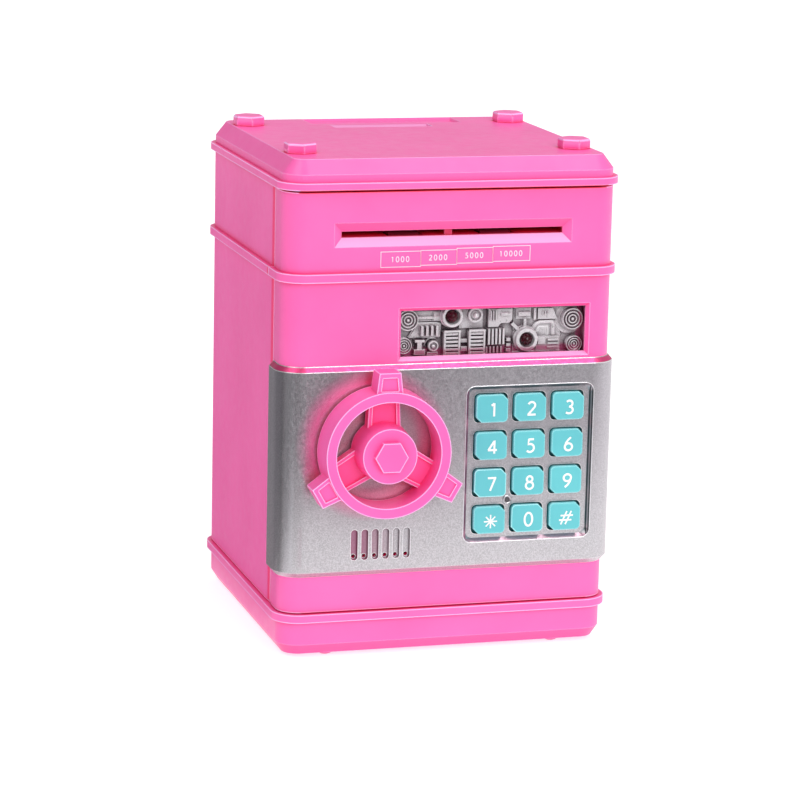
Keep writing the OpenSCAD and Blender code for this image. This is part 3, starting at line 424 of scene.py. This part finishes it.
def relief_silver():
    """The brighter silver of the relief behind the window, with painted shade dark in its hollows, painted pink
    reflections near the window's edges and a painted highlight on its edges.
    """
    return silver_paint("relief_silver", (0.86, 0.83, 0.87), (1.0, 0.98, 1.0), roughness=0.32, metallic=0.3,
                        crease_shade=(0.09, 0.035, 0.06), zones=RELIEF_PAINTED_REFLECTIONS, crease_reach=mm(2.8), alone=True)


def rubber(name, low, high):
    return moulded(name, low, high, roughness=0.7, grain=mm(0.3), depth=mm(0.03))


shaders = {
    "pink_shell": pink_shell(),
    # The inner pink gets dark red painted shade in the note chute
    "pink_inner": moulded("pink_inner", (0.82, 0.11, 0.38), (0.88, 0.13, 0.42), roughness=0.5,
                          zones=[(WINE_SHADE, 0.95, CHUTE_INSIDE)]),
    "silver_paint": panel_silver(),
    # The keys' edge colour is a painted highlight, and their crease colour painted shade
    "teal_keys": moulded("teal_keys", (0.105, 0.49, 0.54), (0.12, 0.54, 0.585), roughness=0.42,
                         edge_highlight=(0.45, 0.9, 0.92), crease_shade=(0.01, 0.15, 0.17)),
    "white_plastic": moulded("white_plastic", (0.76, 0.73, 0.66), (0.82, 0.79, 0.72), roughness=0.5),
    "steel": metal("steel", (0.5, 0.51, 0.53), (0.68, 0.69, 0.71), roughness=0.3, stretch=(1, 1, 6)),
    "brass": metal("brass", (0.68, 0.47, 0.16), (0.8, 0.58, 0.24), roughness=0.3),
    "black_rubber": rubber("black_rubber", (0.03, 0.012, 0.018), (0.045, 0.018, 0.026)),
    "red_wire": moulded("red_wire", (0.5, 0.02, 0.03), (0.62, 0.035, 0.05), roughness=0.45),
    "clear_window": clear_window(),
    "led_red": tinted_dome("led_red", (0.035, 0.002, 0.006), (0.08, 0.003, 0.012)),
    "led_grey": tinted_dome("led_grey", (0.08, 0.07, 0.08), (0.14, 0.12, 0.14)),
    "circuit_green": circuit_green(),
    "black_part": moulded("black_part", (0.012, 0.013, 0.016), (0.022, 0.024, 0.03), roughness=0.45,
                          grain=mm(0.3)),
    "cell": metal("cell", (0.03, 0.035, 0.05), (0.06, 0.07, 0.09), roughness=0.3, stretch=(8, 1, 1)),
    "speaker_grey": moulded("speaker_grey", (0.03, 0.03, 0.035), (0.05, 0.05, 0.058), roughness=0.5),
    "solenoid_grey": metal("solenoid_grey", (0.2, 0.2, 0.22), (0.3, 0.3, 0.33), roughness=0.42),
}
number_white = moulded("number_white", (0.86, 0.88, 0.88), (0.93, 0.94, 0.94), roughness=0.4)
note_mark = moulded("note_mark", (1.0, 0.72, 0.88), (1.0, 0.8, 0.92), roughness=0.35)
window_silver = relief_silver()
handwheel_pink = wheel_pink()
# The rollers' rubber is dark red: painted red bounce light from the pink walls of the note slot
roller_rubber_red_bounce = rubber("roller_rubber_red_bounce", (0.26, 0.008, 0.03), (0.36, 0.01, 0.045))
# Bright silver for the keypad's painted rim highlight
rim_highlight_silver = metal("rim_highlight_silver", (0.82, 0.8, 0.83), (0.95, 0.93, 0.96), roughness=0.35)
led_rim = metal("led_rim", (0.5, 0.47, 0.5), (0.66, 0.63, 0.66), roughness=0.3)


def wear(thing, shader):
    """Gives an object that one material."""
    thing.data.materials.clear()
    thing.data.materials.append(shader.material)


# ---------- mesh helpers ----------

def soften(thing, width, segments=2, angle=32):
    """Rounds every edge sharper than angle and shades the flats flat."""
    bevel = thing.modifiers.new("edges", "BEVEL")
    bevel.width = width
    bevel.segments = segments
    bevel.limit_method = "ANGLE"
    bevel.angle_limit = math.radians(angle)
    bevel.use_clamp_overlap = True
    bevel.harden_normals = False
    normals = thing.modifiers.new("normals", "WEIGHTED_NORMAL")
    normals.keep_sharp = True
    for face in thing.data.polygons:
        face.use_smooth = True


def soften_cad(name, width, segments=2):
    """The same for a CAD node, whose triangles are first joined into flat faces."""
    thing = nodes[name]
    weld = thing.modifiers.new("weld", "WELD")
    weld.merge_threshold = mm(0.002)
    flats = thing.modifiers.new("flats", "DECIMATE")
    flats.decimate_type = "DISSOLVE"
    flats.angle_limit = math.radians(1)
    soften(thing, width, segments)


slot_of = {part["node"]: part["material_slot"] for part in record["subparts"]}
for name, thing in nodes.items():
    wear(thing, shaders[slot_of[name]])
wear(nodes["handwheel"], handwheel_pink)
for name in ("drive_rollers", "pinch_rollers"):
    wear(nodes[name], roller_rubber_red_bounce)

# How wide each node's edges are rounded, in millimetres
EDGE = {"base_tray": 0.6, "body_shell": 0.5, "lid": 0.6, "lid_bolts": 0.45, "door_front": 0.45,
        "silver_panel": 0.5, "handwheel": 0.45}
for name, width in EDGE.items():
    soften_cad(name, mm(width))
for key in KEYS:
    soften_cad(f"key_{key}", mm(0.6), segments=3)


# ---------- shapes built in code ----------

def on_front(x, y, z):
    """Local XY becomes the door's face, and local Z points out of the door from plane y."""
    return Matrix(((1, 0, 0, x), (0, 0, -1, y), (0, 1, 0, z), (0, 0, 0, 1)))


def piece(name, mesh, body, shader):
    """A finished piece: an object for the mesh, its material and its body."""
    made = bpy.data.objects.new(name, mesh)
    scene.collection.objects.link(made)
    wear(made, shader)
    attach(made, body)
    return made


def new_mesh(name, form, place=None):
    """A mesh from a bmesh, which is freed."""
    bmesh.ops.recalc_face_normals(form, faces=form.faces)
    if place is not None:
        form.transform(place)
    mesh = bpy.data.meshes.new(name)
    form.to_mesh(mesh)
    form.free()
    return mesh


def add_prism(form, outline, low, high, shrink=1.0):
    """A solid over a flat outline, from low to high. Its top is drawn in by shrink about its middle."""
    count = len(outline)
    middle = [sum(p[k] for p in outline) / count for k in (0, 1)]
    top = [[m + (v - m) * shrink for v, m in zip(p, middle)] for p in outline]
    lower = [form.verts.new((*p, low)) for p in outline]
    upper = [form.verts.new((*p, high)) for p in top]
    form.faces.new(lower[::-1])
    form.faces.new(upper)
    for i in range(count):
        j = (i + 1) % count
        form.faces.new((lower[i], lower[j], upper[j], upper[i]))


def add_block(form, x0, x1, y0, y1, low, high, shrink=1.0):
    add_prism(form, [(x0, y0), (x1, y0), (x1, y1), (x0, y1)], low, high, shrink)


def add_lathe(form, x, y, profile, steps=40):
    """A turned solid about an axis at x, y. The profile lists (radius, height) from the rim to the middle."""
    rings = []
    for radius, height in profile:
        if radius == 0:
            rings.append([form.verts.new((x, y, height))])
            continue
        rings.append([form.verts.new((x + radius * math.cos(math.tau * i / steps),
                                      y + radius * math.sin(math.tau * i / steps), height))
                      for i in range(steps)])
    for outer, inner in zip(rings, rings[1:]):
        for i in range(steps):
            j = (i + 1) % steps
            if len(inner) == 1:
                form.faces.new((outer[i], outer[j], inner[0]))
            else:
                form.faces.new((outer[i], outer[j], inner[j], inner[i]))
    form.faces.new(rings[0][::-1])


def arc(cx, cy, rx, ry, start, end, steps=14):
    """Points on an ellipse from start to end degrees, both ends counted."""
    angles = [math.radians(start + (end - start) * i / steps) for i in range(steps + 1)]
    return [(cx + rx * math.cos(a), cy + ry * math.sin(a)) for a in angles]


def stroke_mesh(name, lines, width, thickness, place):
    """Flat raised lines. Each line is (points, closed); a tube runs along it and is pressed flat."""
    curve = bpy.data.curves.new(name, "CURVE")
    curve.dimensions = "3D"
    curve.bevel_depth = width / 2
    curve.bevel_resolution = 2
    curve.use_fill_caps = True
    for points, closed in lines:
        spline = curve.splines.new("POLY")
        spline.points.add(len(points) - 1)
        for target, (x, y) in zip(spline.points, points):
            target.co = (x, y, 0, 1)
        spline.use_cyclic_u = closed
    holder = bpy.data.objects.new(name, curve)
    scene.collection.objects.link(holder)
    bpy.context.view_layer.update()
    evaluated = holder.evaluated_get(bpy.context.evaluated_depsgraph_get())
    mesh = bpy.data.meshes.new_from_object(evaluated)
    bpy.data.objects.remove(holder)
    bpy.data.curves.remove(curve)
    mesh.transform(place @ Matrix.Diagonal((1, 1, 2 * thickness / width, 1)))
    for face in mesh.polygons:
        face.use_smooth = True
    return mesh


# ---------- numerals ----------

def turned(lines):
    """The same lines turned half a turn about the middle of the numeral."""
    return [([(-x, 1 - y) for x, y in points], closed) for points, closed in lines]


RING = arc(0, 0.27, 0.26, 0.27, 0, 352, 24)
SIX = [(RING, True), ([(0.16, 1.0), (-0.02, 0.82), (-0.18, 0.58), (-0.26, 0.3)], False)]
# Each numeral is one unit high, about a middle line at x = 0
NUMERALS = {
    "0": [(arc(0, 0.5, 0.27, 0.5, 0, 352, 30), True)],
    "1": [([(-0.16, 0.82), (0.04, 0.98)], False), ([(0.04, 1.0), (0.04, 0.0)], False)],
    "2": [(arc(-0.01, 0.73, 0.24, 0.25, 160, -35) + [(-0.26, 0.02)], False),
          ([(-0.3, 0.02), (0.28, 0.02)], False)],
    "3": [(arc(-0.03, 0.75, 0.22, 0.23, 145, -90), False), (arc(-0.05, 0.26, 0.27, 0.26, 90, -140), False)],
    "4": [([(0.30, 0.27), (-0.33, 0.27)], False), ([(-0.30, 0.27), (0.12, 0.96)], False),
          ([(0.12, 1.0), (0.12, 0.0)], False)],
    "5": [([(0.22, 0.97), (-0.17, 0.97)], False),
          ([(-0.13, 0.99), (-0.18, 0.58)] + arc(-0.05, 0.31, 0.28, 0.31, 105, -140), False)],
    "6": SIX,
    "7": [([(-0.27, 0.97), (0.31, 0.97)], False), ([(0.26, 0.99), (-0.1, 0.0)], False)],
    "8": [(arc(0, 0.76, 0.2, 0.22, 0, 352, 24), True), (RING, True)],
    "9": turned(SIX),
    "star": [([(-0.5 * math.cos(a), 0.47 - 0.5 * math.sin(a)), (0.5 * math.cos(a), 0.47 + 0.5 * math.sin(a))],
              False) for a in (math.radians(d) for d in (0, 45, 90, 135))],
    "hash": [([(x - 0.17, 0.04), (x + 0.17, 0.92)], False) for x in (-0.13, 0.13)]
            + [([(-0.36 + s, y), (0.36 + s, y)], False) for y, s in ((0.33, -0.04), (0.63, 0.04))],
}


def written(text, height, pitch):
    """The lines of several numerals in a row, centred on the origin."""
    lines = []
    for i, letter in enumerate(text):
        shift = (i - (len(text) - 1) / 2) * pitch
        lines += [([(x * height + shift, (y - 0.5) * height) for x, y in points], closed)
                  for points, closed in NUMERALS[letter]]
    return lines


# The width of a key numeral's strokes, and how wide and how tall the unit numeral is drawn, in millimetres
STROKE = {"star": 0.58, "hash": 0.65}
PLAIN_STROKE = 0.84
DRAWN = {"star": (5.3, 5.3), "hash": (7.0, 5.9)}
PLAIN_DRAWN = (5.7, 5.1)


def key_numerals():
    """A raised numeral on each key, a little right of and below its middle."""
    for key in KEYS:
        low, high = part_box(f"key_{key}")
        place = on_front((low.x + high.x) / 2 + mm(0.5), low.y - mm(0.01), (low.z + high.z) / 2 - mm(0.45))
        wide, tall = (mm(v) for v in DRAWN.get(key, PLAIN_DRAWN))
        lines = [([(x * wide, (y - 0.5) * tall) for x, y in points], closed)
                 for points, closed in NUMERALS[key]]
        mesh = stroke_mesh(f"numeral_{key}", lines, width=mm(STROKE.get(key, PLAIN_STROKE)),
                           thickness=mm(0.1), place=place)
        piece(f"numeral_{key}", mesh, f"button_{key}", number_white)


def note_values():
    """Four raised boxes under the note slot, each with a plain round number.

    Each row gives the number, the box's left, right and lower edges and its height."""
    letter = mm(1.95)
    boxes = [("1000", -28.5, -13.0, 150.2, 5.85), ("2000", -13.0, 1.1, 150.65, 5.6),
             ("5000", 1.1, 15.3, 151.05, 5.7), ("10000", 15.3, 30.0, 151.4, 5.7)]
    for text, x0, x1, z0, tall in boxes:
        corners = [(mm(x), mm(z)) for x, z in ((x0, z0), (x1, z0), (x1, z0 + tall), (x0, z0 + tall))]
        mesh = stroke_mesh(f"note_box_{text}", [(corners, True)], width=mm(0.4), thickness=mm(0.15),
                           place=on_front(0, DOOR_FACE, 0))
        piece(f"note_box_{text}", mesh, "door", note_mark)
        middle = on_front(mm((x0 + x1) / 2 - 0.3), DOOR_FACE, mm(z0 + tall / 2))
        mesh = stroke_mesh(f"note_value_{text}", written(text, height=letter, pitch=letter),
                           width=mm(0.34), thickness=mm(0.12), place=middle)
        piece(f"note_value_{text}", mesh, "door", note_mark)


def led_collar():
    """The bright rim around the keypad's small LED."""
    low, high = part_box("status_led")
    form = bmesh.new()
    add_lathe(form, 0, 0, [(mm(1.9), 0), (mm(1.8), mm(0.25)), (mm(1.5), mm(0.35)), (mm(1.1), mm(0.2)),
                           (mm(1.0), mm(0.12)), (0, mm(0.12))])
    place = on_front((low.x + high.x) / 2, PANEL_FACE + mm(1.5), (low.z + high.z) / 2)
    made = piece("led_collar", new_mesh("led_collar", form, place), "door", led_rim)
    soften(made, mm(0.05))


def keypad_rim_highlight():
    """A painted highlight: the bright line around the keypad's recess, made as a low bright bead on the panel's
    face.
    """
    (x0, x1), (z0, z1) = PAD_X, PAD_Z
    r = mm(3.4)  # the corners' radius
    corners = ((x1 - r, z1 - r, 0), (x0 + r, z1 - r, 90), (x0 + r, z0 + r, 180), (x1 - r, z0 + r, 270))
    outline = [point for x, z, start in corners for point in arc(x, z, r, r, start, start + 90, 8)]
    mesh = stroke_mesh("keypad_rim_highlight", [(outline, True)], width=mm(0.4), thickness=mm(0.12),
                       place=on_front(0, PANEL_FACE, 0))
    piece("keypad_rim_highlight", mesh, "door", rim_highlight_silver)


key_numerals()
note_values()
led_collar()
keypad_rim_highlight()


# ---------- machinery behind the window ----------

def knob(form, x, z, radius, height, rings=3):
    """A turned knob with concentric ridges and a small centre stud."""
    step = radius / (rings + 0.6)
    groove = height * 0.78
    profile = [(radius, 0), (radius * 0.97, height * 0.8)]
    for i in range(rings):
        outer = radius - i * step
        profile += [(outer - step * 0.15, height), (outer - step * 0.5, height),
                    (outer - step * 0.6, groove), (outer - step * 0.95, groove)]
    profile += [(step * 0.45, height), (0, height * 1.05)]
    add_lathe(form, x, z, profile)


def bezel(form, x, z, radius, hole, height):
    """A ring around an LED: a stepped outer wall and a sloped mouth."""
    add_lathe(form, x, z, [(radius, 0), (radius, height * 0.55), (radius - mm(0.5), height * 0.6),
                           (radius - mm(0.55), height), (hole + mm(0.55), height * 1.02),
                           (hole + mm(0.25), height * 0.7), (hole, height * 0.6), (hole, mm(0.1))])


def louvre(form, x0, x1, z0, z1, height, slats=6):
    """A frame around level slats."""
    rim = mm(0.8)
    add_block(form, x0, x0 + rim, z0, z1, 0, height)
    add_block(form, x1 - rim, x1, z0, z1, 0, height)
    add_block(form, x0, x1, z1 - rim, z1, 0, height * 1.1)
    pitch = (z1 - rim - z0) / slats
    for i in range(slats):
        low = z0 + (i + 0.15) * pitch
        add_block(form, x0 + rim, x1 - rim, low, low + pitch * 0.62, 0, height * 0.92)


def bars(form, x0, x1, z0, z1, low, high, count, share=0.55):
    """Upright ribs side by side."""
    pitch = (x1 - x0) / count
    for i in range(count):
        left = x0 + i * pitch
        add_block(form, left, left + pitch * share, z0, z1, low, high, 0.92)


def pipe(form, points, radius, steps=10):
    """A half-sunk pipe along flat points, mitred at its bends."""
    rings = []
    for i, point in enumerate(points):
        before = Vector(points[i]) - Vector(points[i - 1]) if i else Vector(points[1]) - Vector(points[0])
        after = Vector(points[i + 1]) - Vector(point) if i < len(points) - 1 else before
        side = (before.normalized() + after.normalized()).normalized()
        side = Vector((-side.y, side.x)) / max(0.5, side.dot(after.normalized()))
        ring = []
        for a in (math.tau * k / steps for k in range(steps)):
            across = radius * math.cos(a)
            ring.append(form.verts.new((point[0] + side.x * across, point[1] + side.y * across,
                                        radius * (0.8 + math.sin(a)))))
        rings.append(ring)
    for one, two in zip(rings, rings[1:]):
        for k in range(steps):
            j = (k + 1) % steps
            form.faces.new((one[k], one[j], two[j], two[k]))
    form.faces.new(rings[0][::-1])
    form.faces.new(rings[-1])


# The relief's own forms are in millimetres: places across and up the window, and heights above its plate

def block(form, x0, x1, z0, z1, bottom, top, shrink=1.0):
    add_block(form, mm(x0), mm(x1), mm(z0), mm(z1), mm(bottom), mm(top), shrink)


def path(*points):
    """Flat points in millimetres, in metres."""
    return [(mm(x), mm(z)) for x, z in points]


def relief_tray(form, low, high, plate):
    """The back plate, the walls around it and the ledge at the top."""
    x0, x1, z0, z1 = low.x, high.x, low.z, high.z
    wall, rail = mm(0.9), mm(0.72)
    front = plate - (low.y + mm(0.02))
    add_block(form, x0, x1, z0, z1, -(high.y - plate), 0)
    for side in ((x0, x0 + wall, z0, z1), (x1 - wall, x1, z0, z1),
                 (x0 + wall, x1 - wall, z0, z0 + rail), (x0 + wall, x1 - wall, z1 - rail, z1)):
        add_block(form, *side, 0, front)
    add_block(form, x0 + wall, x1 - wall, z1 - mm(1.6), z1 - rail, 0, mm(3.6))
    block(form, 5.2, 14.6, 124.6, 131.8, 0, 1.2)
    block(form, -12.5, -1.5, 127.6, 131.5, 0, 0.8)
    block(form, 27, 46, 113.8, 132, 0, 0.6)


def relief_turned_parts(form):
    """Four corner knobs, the stud knob, two LED bezels, and two louvres with the blocks between them."""
    for x, z, radius, height in ((-15.6, 128.7, 4.2, 3.6), (49.8, 127.4, 4.3, 4.2), (-16.9, 118.8, 3.2, 3.0),
                                 (50.9, 117.5, 3.3, 3.4)):
        knob(form, mm(x), mm(z), mm(radius), mm(height))
    add_lathe(form, mm(49.2), mm(127.2), path((6, 0), (6, 0.9), (5.4, 1.2), (0, 1.2)))
    knob(form, mm(11.2), mm(129.8), mm(3.1), mm(3.0), 1)
    add_lathe(form, mm(11.2), mm(129.8), path((1.2, 2), (1.1, 3.6), (0.7, 4.1), (0, 4.3)))
    for x, z, radius in ((1.7, 129.7, 4.6), (31.5, 119.9, 4.9)):
        bezel(form, mm(x), mm(z), mm(radius), mm(2.5), mm(4.4))
    for x in (-1.3, 8.6):
        louvre(form, mm(x), mm(x + 6.6), mm(114.7), mm(124.3), mm(3.4))
    block(form, 5.9, 8.2, 116, 117.8, 0, 2.4)
    block(form, 5.6, 8.4, 119.2, 120.6, 0, 2.0)


def relief_grille(form):
    """The slanted grille: a leaning frame around four upright bars, and two slips above it."""
    frame_corners = path((-14.6, 121.6), (-2.4, 121.6), (-1.9, 126.9), (-11.2, 126.9))
    add_prism(form, frame_corners, 0, mm(1.5))
    for start, end in ((0, 1), (3, 2), (0, 3), (1, 2)):
        pipe(form, [frame_corners[start], frame_corners[end]], mm(0.45))
    bars(form, mm(-10.4), mm(-2.6), mm(122.3), mm(126.3), mm(1.4), mm(3.4), 4)
    block(form, -11.8, -2.6, 128.6, 129.4, 0.5, 1.8)
    block(form, -5.0, -2.2, 127.8, 131.2, 0.5, 1.5)


def relief_pillar(form):
    """The pillar and the curl knob below the grille."""
    block(form, -12.6, -8.8, 120.0, 120.9, 0, 3.2)
    block(form, -11.6, -9.8, 117.2, 120.2, 0, 2.8)
    block(form, -12.9, -8.5, 115.2, 117.3, 0, 3.0)
    knob(form, mm(-5.3), mm(118.4), mm(2.2), mm(3.2), 1)
    pipe(form, arc(mm(-5.3), mm(118.2), mm(2.9), mm(2.9), 60, 180, 6), mm(0.45))
    block(form, -7.6, -3.4, 114.8, 116, 0, 2.4)


def relief_shield(form):
    """The shield with ribs, and the ribbed foot under it."""
    add_prism(form, path((16.5, 124.9), (20.4, 124.9), (21.6, 126.4), (24.9, 126.4), (26, 127.6), (26, 131.9),
                         (16.5, 131.9)), 0, mm(2.6))
    bars(form, mm(17), mm(20), mm(127.4), mm(131.6), mm(2.5), mm(3.4), 3, 0.5)
    block(form, 21, 25.2, 129.2, 130.6, 2.5, 3.3, 0.85)
    block(form, 16.2, 23.4, 118.4, 124.4, 0, 1.8)
    bars(form, mm(16.2), mm(23.4), mm(118), mm(124.6), mm(1.7), mm(3.4), 5, 0.62)
    bars(form, mm(15.8), mm(23), mm(114.8), mm(117.4), 0, mm(2.2), 5, 0.5)
    for i in range(3):
        block(form, 23.9, 25.6, 115.2 + i * 2, 116.4 + i * 2, 0, 2.4)
    add_prism(form, path((25.4, 125.8), (26.4, 126.6), (29.3, 123.8), (28.4, 122.9)), 0, mm(2.8))


def relief_tubes(form):
    """The tube box, its stem, and the marked block beside it."""
    block(form, 27.8, 33.8, 127.6, 131.7, 0, 1.6)
    for z in (128.1, 130.9):
        pipe(form, path((28.0, z), (33.6, z)), mm(0.55))
    block(form, 28.4, 33.2, 128.8, 130.3, 1.5, 2.6)
    block(form, 30.6, 31.7, 124.3, 127.7, 0, 2.6)
    block(form, 34.6, 35.6, 127.2, 131.8, 0, 2.4)
    add_prism(form, path((36.3, 127.3), (44.2, 127.3), (42.4, 131.6), (36.3, 131.6)), 0, mm(2.2))
    for i in range(3):
        block(form, 38.0 + i, 38.4 + i, 128.8 + i * 0.2, 130.6, 2.1, 2.7)


def relief_elbow(form):
    """The elbow pipe, the thin pipe under it and the block they run into."""
    pipe(form, path((34.4, 123.2), (35.9, 125.4), (37.6, 126.2), (42.3, 126.2), (42.9, 125.4), (42.9, 121)),
         mm(0.95))
    pipe(form, path((36.5, 122.2), (37.4, 124.0), (40.6, 124.0), (40.9, 121)), mm(0.45))
    block(form, 35.9, 45.2, 115.4, 120.4, 0, 2.0)
    block(form, 36.3, 39.6, 117.6, 120.2, 1.9, 2.9, 0.9)
    for z in (116.1, 117.5, 118.9):
        block(form, 40.4, 44.8, z, z + 0.7, 1.9, 2.8)


def machinery():
    """The silver relief in the window, in place of the CAD's plain mechanism panel."""
    low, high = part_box("mechanism_panel")
    plate = lens_low.y + mm(7)
    form = bmesh.new()
    relief_tray(form, low, high, plate)
    for add_part in (relief_turned_parts, relief_grille, relief_pillar, relief_shield, relief_tubes,
                     relief_elbow):
        add_part(form)
    mesh = new_mesh("window_machinery", form, on_front(0, plate, 0))
    made = piece("window_machinery", mesh, "door", window_silver)
    soften(made, mm(0.14), angle=40)
    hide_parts("mechanism_panel")


machinery()


# ---------- floor, light and camera ----------

def sheet(name, outline, height, shader):
    """A flat stage sheet over that outline."""
    mesh = bpy.data.meshes.new(name)
    mesh.from_pydata([(x, y, height) for x, y in outline], [], [range(len(outline))])
    made = bpy.data.objects.new(name, mesh)
    scene.collection.objects.link(made)
    wear(made, shader)
    return made


def floor():
    """A white floor, and dark cards on it that only reflections see, in front and to the left."""
    cloud, card_height = 0.5, mm(1)
    white = Shader("floor_white", roughness=0.8)
    white.colour(white.ramp(white.noise(cloud), (0.63, 0.63, 0.63), (0.65, 0.65, 0.65)))
    white.principled.inputs["Emission Color"].default_value = (1, 1, 1, 1)
    white.principled.inputs["Emission Strength"].default_value = 0.68
    sheet("floor", [(-6, -6), (6, -6), (6, 8), (-6, 8)], 0, white)
    dark = Shader("card_dark", roughness=0.9)
    dark.colour(dark.ramp(dark.noise(cloud), (0.02, 0.02, 0.024), (0.03, 0.03, 0.034)))
    dim = Shader("card_dim", roughness=0.9)
    dim.colour(dim.ramp(dim.noise(cloud), (0.2, 0.19, 0.21), (0.24, 0.23, 0.25)))
    front = sheet("card_front", [(-5, -5), (5, -5), (5, -0.55), (0.25, -0.44), (0.03, -0.27), (-0.2, -0.22),
                                 (-0.16, 0.0), (-5, 0.0)], card_height, dark)
    left = sheet("card_left", [(-5, 0.0), (-0.075, 0.0), (-0.075, 1.5), (-5, 3.0)], card_height, dim)
    for card in (front, left):
        card.visible_camera = card.visible_diffuse = card.visible_shadow = card.visible_transmission = False


def sun(name, toward, strength, softness):
    """A far light that shines from that direction, softness degrees wide."""
    light = bpy.data.lights.new(name, "SUN")
    light.energy = strength
    light.angle = math.radians(softness)
    made = bpy.data.objects.new(name, light)
    made.rotation_euler = Vector(toward).to_track_quat("Z", "Y").to_euler()
    scene.collection.objects.link(made)


def room():
    """A white room around the bank: dark below the floor's level, and dimmer on its left."""
    dark, white = (0.12, 0.12, 0.13, 1), (1, 1, 1, 1)
    dim_left, bright_right = 0.26, 0.54
    world = bpy.data.worlds.new("studio")
    scene.world = world
    world.use_nodes = True
    tree = world.node_tree
    background = tree.nodes["Background"]
    place = tree.nodes.new("ShaderNodeTexCoord")
    split = tree.nodes.new("ShaderNodeSeparateXYZ")
    ramp = tree.nodes.new("ShaderNodeValToRGB")
    below, above = ramp.color_ramp.elements
    below.position, above.position = 0.0, 0.12
    below.color, above.color = dark, white
    tree.links.new(place.outputs["Generated"], split.inputs["Vector"])
    tree.links.new(split.outputs["Z"], ramp.inputs["Fac"])
    tree.links.new(ramp.outputs["Color"], background.inputs["Color"])
    side = tree.nodes.new("ShaderNodeMapRange")
    for key, value in (("From Min", -0.35), ("From Max", 0.1),
                       ("To Min", dim_left), ("To Max", bright_right)):
        side.inputs[key].default_value = value
    tree.links.new(split.outputs["X"], side.inputs["Value"])
    tree.links.new(side.outputs["Result"], background.inputs["Strength"])


def overhead_light():
    """A soft round light over the bank's right side."""
    light = bpy.data.lights.new("overhead_box", "AREA")
    light.shape = "DISK"
    light.size = 0.5
    light.energy = 3.4
    made = bpy.data.objects.new("overhead_box", light)
    above = Vector((0.28, -0.18, 0.94)) * 1.3
    made.matrix_world = Matrix.Translation(above) @ above.to_track_quat("Z", "Y").to_matrix().to_4x4()
    scene.collection.objects.link(made)


def camera():
    """Looks down at the bank from the left of its front. Fitted to corners and edges in the photograph."""
    place = mm(-355.21, -1183.74, 351.85)
    yaw, pitch, roll = math.radians(-16.52), math.radians(-12.08), math.radians(1.31)
    data = bpy.data.cameras.new("camera")
    data.sensor_width = 36
    data.lens = 144.18
    data.clip_end = 50
    made = bpy.data.objects.new("camera", data)
    turn = (Matrix.Rotation(yaw, 4, "Z") @ Matrix.Rotation(math.pi / 2 + pitch, 4, "X")
            @ Matrix.Rotation(roll, 4, "Z"))
    made.matrix_world = Matrix.Translation(place) @ turn
    scene.collection.objects.link(made)
    scene.camera = made


floor()
room()
sun("key_light", toward=(0.15, -0.9, 0.42), strength=1.11, softness=30)
sun("left_fill", toward=(-0.62, -0.3, 0.78), strength=0.95, softness=40)
overhead_light()
camera()
scene.view_settings.view_transform = "Standard"
scene.view_settings.look = "None"
